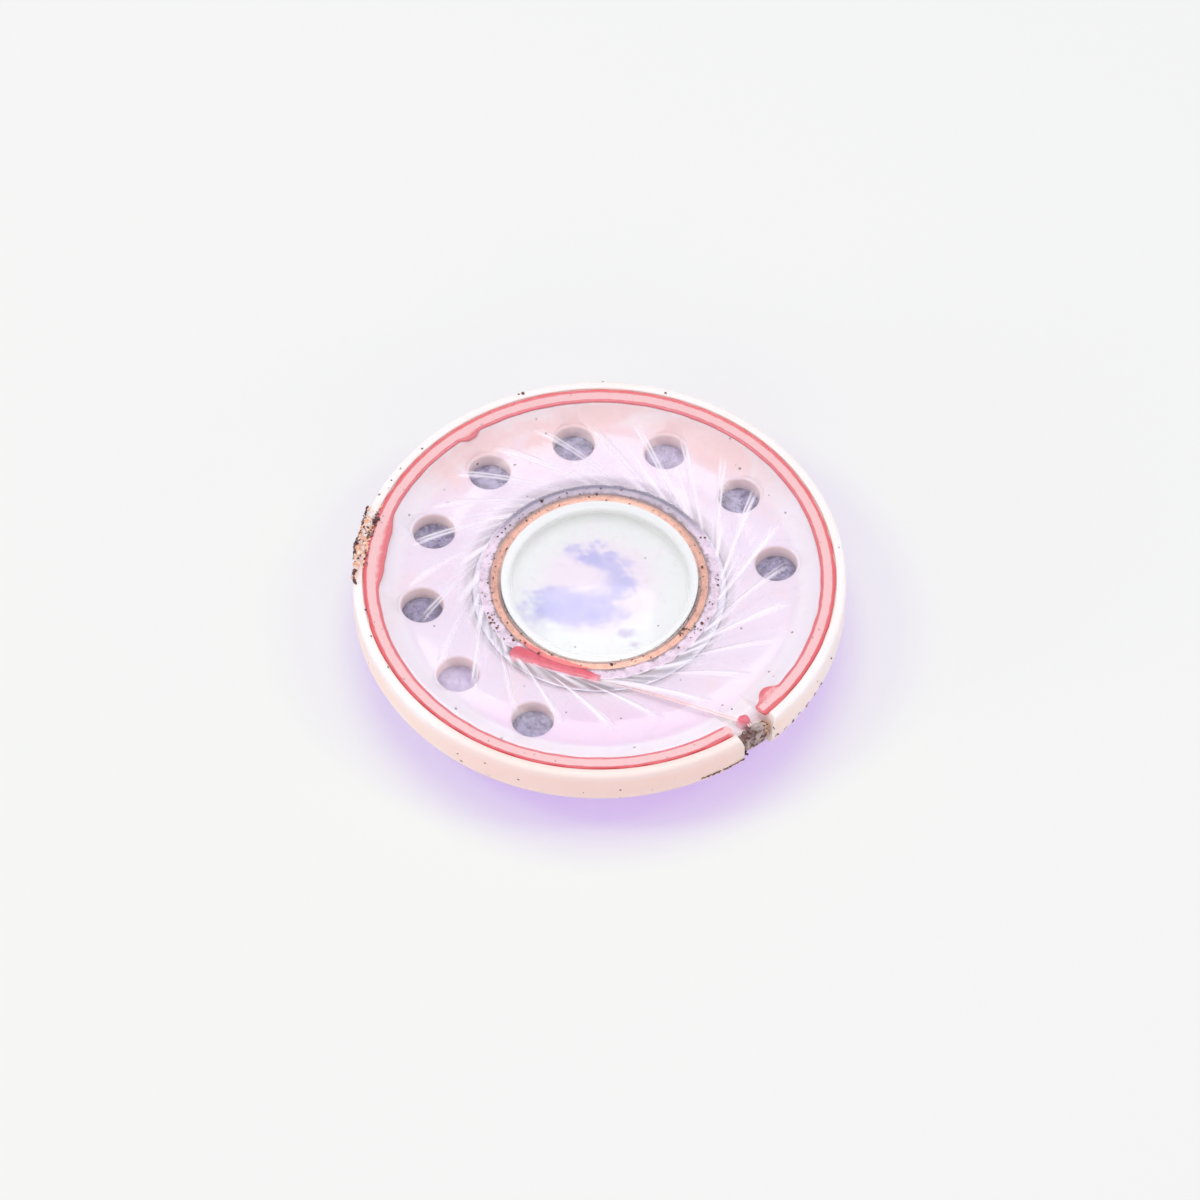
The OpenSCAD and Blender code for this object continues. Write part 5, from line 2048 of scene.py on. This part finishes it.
@dataclass
class Back:
    """What the back shows: damping paper, terminal board with its glue, pads and solder joints."""

    board_points: int = 61
    joint_columns: int = 48
    joint_rows: int = 16
    paper_columns: int = 220
    paper_rows: int = 20
    board_in_r: float = 10.8
    board_out_r: float = 16.2
    board_t: float = 0.7
    board_angle: float = 72.0
    glue_t: float = 0.05
    pad_t: float = 0.05
    pad_w: float = 3.0
    pad_angle: float = 18.0
    pad_spread: float = 32.0
    joint_d: float = 1.8
    joint_h: float = 0.4
    paper_in_r: float = 10.65
    paper_out_r: float = 16.05
    paper_t: float = 0.3
    paper_gap: float = 6.0
    paper_rough: float = 0.018
    paper_tear: float = 0.03
    edge_break: float = 0.05
    tongue_half_w: float = 1.1
    tongue_r: float = 16.75

    def board(self) -> Shell:
        """Sector of laminate with its tongue into the notch, edges broken.

        Returns:
            The board.
        """
        lv = LEVELS
        ring = sector(self.board_in_r, self.board_out_r, NOTCH_ANGLE, self.board_angle, self.board_points)
        outer, inner = np.split(ring, 2)
        left, right = lv.slot_shift - self.tongue_half_w, lv.slot_shift + self.tongue_half_w
        foot = [-math.sqrt(self.board_out_r**2 - x**2) for x in (left, right)]
        tongue = [[left, foot[0]], [left, -self.tongue_r], [right, -self.tongue_r], [right, foot[1]]]
        outline = np.concatenate([outer[outer[:, 0] < left], tongue, outer[outer[:, 0] > right], inner])
        return slab(outline, lv.board_z, lv.board_z + self.board_t, self.edge_break)

    def glue(self) -> Shell:
        """Thin film of glue between the board and the floor's back, a little smaller than the board."""
        outline = sector(self.board_in_r + 0.3, self.board_out_r - 0.3, NOTCH_ANGLE, self.board_angle - 6, 41)
        return slab(outline, LEVELS.floor_back_z - self.glue_t, LEVELS.floor_back_z, 0.01)

    def pad(self, side: int) -> Shell:
        """Copper pad, a part of a flat ring.

        Args:
            side: -1 or 1, for the two sides of the notch.

        Returns:
            The pad.
        """
        lv = LEVELS
        in_r, out_r = lv.joint_r - self.pad_w / 2, lv.joint_r + self.pad_w / 2
        outline = sector(in_r, out_r, NOTCH_ANGLE + side * self.pad_spread / 2, self.pad_angle, 17)
        return slab(outline, lv.board_z - self.pad_t, lv.board_z, 0.015)

    def joint(self, side: int) -> Shell:
        """Solder joint: a bell, h cos^1.3 high over the share of its uneven radius, foot spread thin.

        Args:
            side: -1 or 1, for the two sides of the notch.

        Returns:
            The joint.
        """
        middle = at(NOTCH_ANGLE + side * self.pad_spread / 2, LEVELS.joint_r, LEVELS.board_z - self.pad_t)
        turn = around(self.joint_columns)
        share = np.linspace(1, 0.04, self.joint_rows)[:, None]
        wide = self.joint_d / 2 * np.minimum(1 + 0.06 * ripple(turn, 70 + side, 2, 7), 1.08)
        high = self.joint_h * np.cos(share * math.pi / 2) ** 1.3
        return capped(middle + polar(wide * share, turn, -high))

    def paper(self) -> Shell:
        """Damping paper against the floor's back: a net over the ring, a little wavy on its free side.

        Top points lie on the floor's back; the underside lies paper_t below plus noise, and both edges are
        torn by a ripple.

        Returns:
            The paper.
        """
        span = 360 - self.board_angle - 2 * self.paper_gap
        turn = np.radians(NOTCH_ANGLE + 180 + np.linspace(-span / 2, span / 2, self.paper_columns))
        r = np.linspace(self.paper_in_r, self.paper_out_r, self.paper_rows)[:, None]
        edge = self.paper_tear * ripple(turn, 81, 20, 90) - 0.05
        ends = np.where(r > self.paper_out_r - 0.01, 1, np.where(r < self.paper_in_r + 0.01, -1, 0))
        top = polar(r + ends * edge, turn, LEVELS.floor_back_z - 0.002)
        under = top - np.array([0, 0, self.paper_t - 0.004])
        under[..., 2] += self.paper_rough * np.clip(lumps(under, 82, 1.2), -1, 1)
        return capped(np.swapaxes(np.concatenate([top, under[::-1]]), 0, 1))

    def build(self) -> None:
        """Makes the paper, the board with its glue, the pads and the joints."""
        pads, joints = (merged([make(side) for side in (-1, 1)]) for make in (self.pad, self.joint))
        new_piece("damping_ring", self.paper(), Paper(), ("damping_paper",))
        new_piece("laminate_board", self.board(), Laminate(), ("terminal_board",), sharp=30)
        new_piece("board_glue", self.glue(), AmberGlue(), ("board_adhesive",), sharp=30)
        new_piece("copper_pads", pads, TinnedCopper(), ("solder_pads",), sharp=30)
        new_piece("solder_beads", joints, Solder(), ("solder_joints",), sharp=60)


@dataclass
class Dirt:
    """What years of storage left: a crust on the rim, and single specks on the rim, the side and the coil."""

    strand_count: int = 260
    flake_count: int = 95
    line_count: int = 95
    grain_count: int = 140
    cluster_count: int = 15
    sink: float = 0.02
    line_z: float = 4.14
    dash_z: float = 4.24
    seed: int = 91

    def scatter(
        self, row: Array, r: Array, z: Array | float, size: Array, step: int, shape: tuple[float, float],
    ) -> Shell:
        """Crumbs at row angles in degrees; shape is their height's share and how uneven they are."""
        return crumbs(polar(r, np.radians(row), z), size, self.seed + step, *shape)

    def crust(self) -> Shell:
        """Dark broken strand along the rim's edge, two dark clusters on the lip, and scattered dark crumbs.

        The strand's crumbs lie on straight lines between the marks (row, radius, height), moved by 0.05 mm.

        Returns:
            The crumbs as one shell.
        """
        draws = np.random.default_rng(self.seed)
        marks = np.array([
            (120.4, 18.2, 6.35), (124.3, 18.06, 6.42), (129.1, 17.93, 6.48), (131.6, 18.1, 6.4),
            (136.4, 17.98, 6.4), (139.9, 17.8, 6.58), (141.5, 17.95, 6.5), (144.3, 17.76, 6.58),
        ])
        place = np.append(draws.uniform(0, 7, self.strand_count), draws.uniform(3, 4, self.strand_count // 3))
        place = place[(place < 4) | (place > 5)]
        row, r, z = (np.interp(place, np.arange(8), marks[:, k]) for k in range(3))
        clusters = ((124.6, 0.9, 17.2, 0.14, 46), (128.6, 0.9, 17.3, 0.14, 36), (131.0, 5.5, 17.5, 0.35, 60))
        for middle, wide, radius, deep, count in clusters:
            row = np.append(row, middle + wide * draws.normal(size=count))
            r = np.append(r, np.clip(radius + deep * draws.normal(size=count), 17.05, 17.95))
            z = np.append(z, np.full(count, LEVELS.rim_top_z - self.sink))
        r = r + 0.045 * draws.normal(size=r.size)
        z = z + 0.03 * draws.normal(size=z.size)
        size = draws.uniform(0.025, 0.075, r.size) * np.where(draws.uniform(0, 1, r.size) < 0.15, 1.6, 1)
        return self.scatter(row, r, z, size, 1, (0.8, 0.35))

    def flakes(self) -> Shell:
        """Pale and orange flakes of old glue between the strand and the lip, on the rim's face and edge.

        Returns:
            The flakes as one shell.
        """
        draws = np.random.default_rng(self.seed + 5)
        row = 131.5 + np.clip(5.2 * draws.normal(size=self.flake_count), -11.5, 13)
        r = draws.uniform(17.25, 17.92, self.flake_count)
        size = draws.uniform(0.1, 0.28, self.flake_count)
        z = LEVELS.rim_top_z - self.sink - 0.5 * np.clip(r - 17.72, 0, 1) - 0.2 * size
        return self.scatter(row, r, z, size, 6, (0.3, 0.12))

    def parting_dirt(self) -> Shell:
        """Dirt in the step of the rim's side: an uneven line beside the notch, then dashes past it.

        Returns:
            The dirt as one shell.
        """
        draws = np.random.default_rng(self.seed + 7)
        line = draws.uniform(255.8, 267.4, self.line_count)
        dashes = np.repeat([277.4, 280.1, 283.0, 284.9, 288.6, 291.7, 294.8], 4)
        row = np.append(line, dashes + 0.35 * draws.normal(size=dashes.size))
        z = self.line_z + 0.04 * draws.normal(size=line.size)
        z = np.append(z, self.dash_z + 0.06 * draws.normal(size=dashes.size))
        r = np.where(z > 4.1, LEVELS.rim_r, LEVELS.rim_r - 0.1) - 0.01
        return self.scatter(row, r, z, draws.uniform(0.025, 0.085, row.size), 8, (0.8, 0.35))

    def specks(self) -> Shell:
        """Single specks that the photograph shows, as row, radius or height, and size, by where they lie.

        Returns:
            The specks as one shell.
        """
        lv = LEVELS
        top, floor = lv.rim_top_z, lv.floor_z
        on_side = (
            (212.7, 4.9, 0.07), (236.5, 4.9, 0.09), (197, 5.0, 0.07), (301, 5.1, 0.09), (228, 4.6, 0.06),
            (244, 4.4, 0.05),
        )
        past_notch = ((275.9, 5.6, 0.09), (276.3, 5.3, 0.07), (293, 5.4, 0.06))
        spots = [
            (70.4, 17.7, top, 0.13), (71.4, 17.75, top - 0.02, 0.08), (35.5, 17.5, top, 0.12),
            (50.9, 17.9, top - 0.15, 0.12), (49.6, 17.9, top - 0.15, 0.08), (52.4, 17.9, top - 0.16, 0.09),
            *((row, lv.rim_r - 0.01, z, size) for row, z, size in on_side),
            (267.35, 17.7, 5.7, 0.09), (267.5, 17.85, 5.2, 0.12), (267.6, 17.9, 4.8, 0.12),
            (267.8, 17.9, 4.5, 0.13), (268.3, 17.9, 4.3, 0.11),
            *((row, lv.rim_r - 0.01, z, size) for row, z, size in past_notch),
            (160, 17.45, top, 0.07), (170, 17.4, top, 0.07), (112, 17.6, top, 0.06), (100, 17.5, top, 0.07),
            (152, 17.3, top, 0.08), (330, 17.7, top, 0.05), (12, 17.8, top - 0.05, 0.06),
            (148.7, 13.9, floor, 0.07), (108, 13.4, floor, 0.06), (91, 14.2, floor, 0.1),
            (239, 12.2, floor, 0.08), (264.7, 13.3, floor, 0.06), (270.8, 14.1, floor, 0.07),
            (272.0, 14.8, floor + 0.02, 0.05), (268.9, 14.4, floor, 0.05),
        ]
        return self.scatter(*np.array(spots).T, 2, (0.5, 0.2))

    def coil_specks(self) -> Shell:
        """Dark grains round the coil's top and in the seam, thickest at rows 283 and 168, none on the dab.

        Returns:
            The grains as one shell.
        """
        draws = np.random.default_rng(self.seed + 3)
        few = self.cluster_count
        row = np.concatenate([
            draws.uniform(0, 360, self.grain_count), 283.4 + draws.normal(0, 2.2, few),
            168 + draws.normal(0, 5, few),
        ])
        r = np.concatenate([
            draws.uniform(7.3, 8.7, self.grain_count), 7.6 + draws.normal(0, 0.14, few),
            8.6 + draws.normal(0, 0.2, few),
        ])
        size = draws.uniform(0.025, 0.07, r.size) * np.where(draws.uniform(0, 1, r.size) < 0.12, 1.7, 1)
        x, y, _ = polar(r, np.radians(row), 0).T
        free = (VoiceCoil().cover(x, y) < 0.1) | (r < 7.9)
        return self.scatter(row[free], r[free], LEVELS.seam_z + 0.045, size[free], 4, (0.35, 0.2))

    def build(self) -> None:
        """Makes the crust, the flakes, the dirt and the specks."""
        crust = Crumb("crust", tone(88, 56, 60), tone(172, 136, 128))
        flake = Crumb("flake", tone(234, 172, 140), tone(252, 236, 212))
        dirt = Crumb("dirt", tone(104, 76, 58), tone(176, 140, 112))
        new_piece("rim_crust", self.crust(), crust, sharp=180)
        new_piece("rim_flakes", self.flakes(), flake, sharp=180)
        new_piece("parting_dirt", self.parting_dirt(), dirt, sharp=180)
        new_piece("stray_specks", self.specks(), Crumb(), sharp=180)
        new_piece("coil_specks", self.coil_specks(), Crumb(), body=Body.COIL, sharp=180)


# Studio


def direction(row_angle: float, elevation: float) -> Vector:
    """Unit vector at a row angle and an elevation, both in degrees."""
    turn, rise = math.radians(row_angle), math.radians(elevation)
    return Vector((math.cos(turn) * math.cos(rise), math.sin(turn) * math.cos(rise), math.sin(rise)))


@dataclass(frozen=True)
class PaleFloor(Finish):
    """Pale floor, which for the camera glows blue a little, as its shadow does in the photograph."""

    name: str = "pale_floor"
    pale: Colour = tone(246, 245, 247)
    cloud: Colour = tone(244, 243, 246)
    lit: Colour = (0.36, 0.58, 0.09, 1.0)
    glow: Colour = (0.512, 0.283, 0.812, 1.0)

    def shade(self, tree: Tree) -> Wire:
        """Matt with soft clouds, and for the camera a darker matt tone with an even glow over it.

        Args:
            tree: Tree that takes the nodes.

        Returns:
            The shader.
        """
        colour = tree.here().noise(0.02, 3).fade(0.3, 0.7).mix(self.pale, self.cloud)
        ground = tree.out("BsdfDiffuse", {"Color": colour})
        glow = tree.out("Emission", {"Color": self.glow, "Strength": 1.0})
        seen = tree.out("AddShader", {0: tree.out("BsdfDiffuse", {"Color": self.lit}), 1: glow})
        return tree.either(tree.out("LightPath", key="Is Camera Ray"), ground, seen)


@dataclass(frozen=True)
class Lamp:
    """Flat lamp: row angle, elevation and distance in metres of its place, its size, power and colour."""

    name: str
    row_angle: float
    elevation: float
    distance: float
    size: tuple[float, float]
    power: float
    colour: tuple[float, float, float]

    def place(self, target: Vector) -> None:
        """Adds the lamp, turned to the target.

        Args:
            target: Point that it faces, in metres.
        """
        data = bpy.data.lights.new(self.name, "AREA")
        data.shape, data.size, data.size_y = "RECTANGLE", *self.size
        data.energy, data.color = self.power, self.colour
        made = bpy.data.objects.new(self.name, data)
        made.location = target + self.distance * direction(self.row_angle, self.elevation)
        made.rotation_euler = (target - made.location).to_track_quat("-Z", "Y").to_euler()
        bpy.context.scene.collection.objects.link(made)


@dataclass
class Studio:
    """Pale floor, camera at the photograph's angle, and soft lamps."""

    elevation: float = 53.6
    distance: float = 0.7005
    lens: float = 288.0
    sensor: float = 36.0
    pixels_per_mm: float = 13.705
    aim_z: float = 6.5
    aim_right: float = 0.5
    aim_up: float = -23.6
    floor_half: float = 6.0
    shade: tuple[float, float, float] = (0.42, 0.40, 0.46)
    white: Colour = tone(244, 244, 246)
    lamp_target: tuple[float, float, float] = (0, 0, 0.006)
    lamps: tuple[Lamp, ...] = (
        Lamp("soft_top", 52.0, 76.0, 0.60, (0.36, 0.36), 1.45, (0.98, 1.0, 0.94)),
        Lamp("left_softbox", 146.0, 50.0, 0.5, (0.12, 0.16), 0.52, (1.0, 0.99, 0.96)),
        Lamp("right_softbox", 318.0, 50.0, 0.5, (0.10, 0.14), 0.30, (1.0, 0.99, 0.95)),
        Lamp("front_fill", 236.0, 24.0, 0.55, (0.3, 0.2), 0.44, (1.0, 0.93, 0.88)),
        Lamp("left_fill", 168.0, 14.0, 0.5, (0.2, 0.12), 0.38, (0.88, 0.88, 1.0)),
        Lamp("right_fill", 300.0, 14.0, 0.5, (0.2, 0.12), 0.27, (0.90, 0.88, 1.0)),
    )

    def camera(self) -> None:
        """Places the camera so that a millimetre at the film's height is as long as in the photograph."""
        turn = math.radians(VIEW_TURN)
        back = direction(-90 - VIEW_TURN, self.elevation)
        right = Vector((math.cos(turn), -math.sin(turn), 0))
        up = back.cross(right)
        aim = Vector((0, 0, self.aim_z)) + (self.aim_right * right + self.aim_up * up) / self.pixels_per_mm
        data = bpy.data.cameras.new("photo_camera")
        data.lens, data.sensor_width, data.clip_start, data.clip_end = self.lens, self.sensor, 0.01, 20
        made = bpy.data.objects.new("photo_camera", data)
        turned = Matrix((right, up, back)).transposed().to_4x4()
        made.matrix_world = Matrix.Translation(aim * MM + back * self.distance) @ turned
        bpy.context.scene.collection.objects.link(made)
        bpy.context.scene.camera = made

    def floor(self) -> None:
        """Wide pale floor under the cup's back."""
        mesh = bpy.data.meshes.new("pale_floor")
        half = self.floor_half
        corners = [(-half, -half, 0), (half, -half, 0), (half, half, 0), (-half, half, 0)]
        mesh.from_pydata(corners, [], [(0, 1, 2, 3)])
        made = bpy.data.objects.new("pale_floor", mesh)
        mesh.materials.append(PaleFloor().material())
        bpy.context.scene.collection.objects.link(made)

    def world(self) -> None:
        """Even violet-grey light all round, white where the camera, a mirror or clear plastic sees it."""
        world = bpy.data.worlds.new("soft_room")
        bpy.context.scene.world = world
        world.use_nodes = True
        tree = Tree(world.node_tree)
        ray = tree.node("LightPath").outputs
        either = {"operation": "ADD", "use_clamp": True}
        mirror = tree.out("Math", {0: ray["Is Glossy Ray"], 1: ray["Is Transmission Ray"]}, **either)
        seen = tree.out("Math", {0: ray["Is Camera Ray"], 1: mirror}, **either)
        colours = ((*self.shade, 1), self.white)
        shade, white = (tree.out("Background", {"Color": colour}) for colour in colours)
        tree.node("OutputWorld", {"Surface": tree.either(seen, shade, white)})

    def build(self) -> None:
        """Sets up the camera, the floor, the world and the lamps."""
        bpy.context.scene.view_settings.view_transform = "Standard"
        self.camera()
        self.floor()
        self.world()
        for lamp in self.lamps:
            lamp.place(Vector(self.lamp_target))


def main() -> None:
    """Loads the frame, builds the studio and every sub-assembly."""
    logging.basicConfig(level=logging.INFO, format="%(name)s: %(message)s")
    for thing in list(bpy.data.objects):
        bpy.data.objects.remove(thing)
    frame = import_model()
    Studio().build()
    Basket().build()
    MagnetSystem().build(frame)
    VoiceCoil().build()
    Diaphragm().build()
    Leads().build()
    Back().build()
    Dirt().build()


if __name__ == "__main__":
    main()
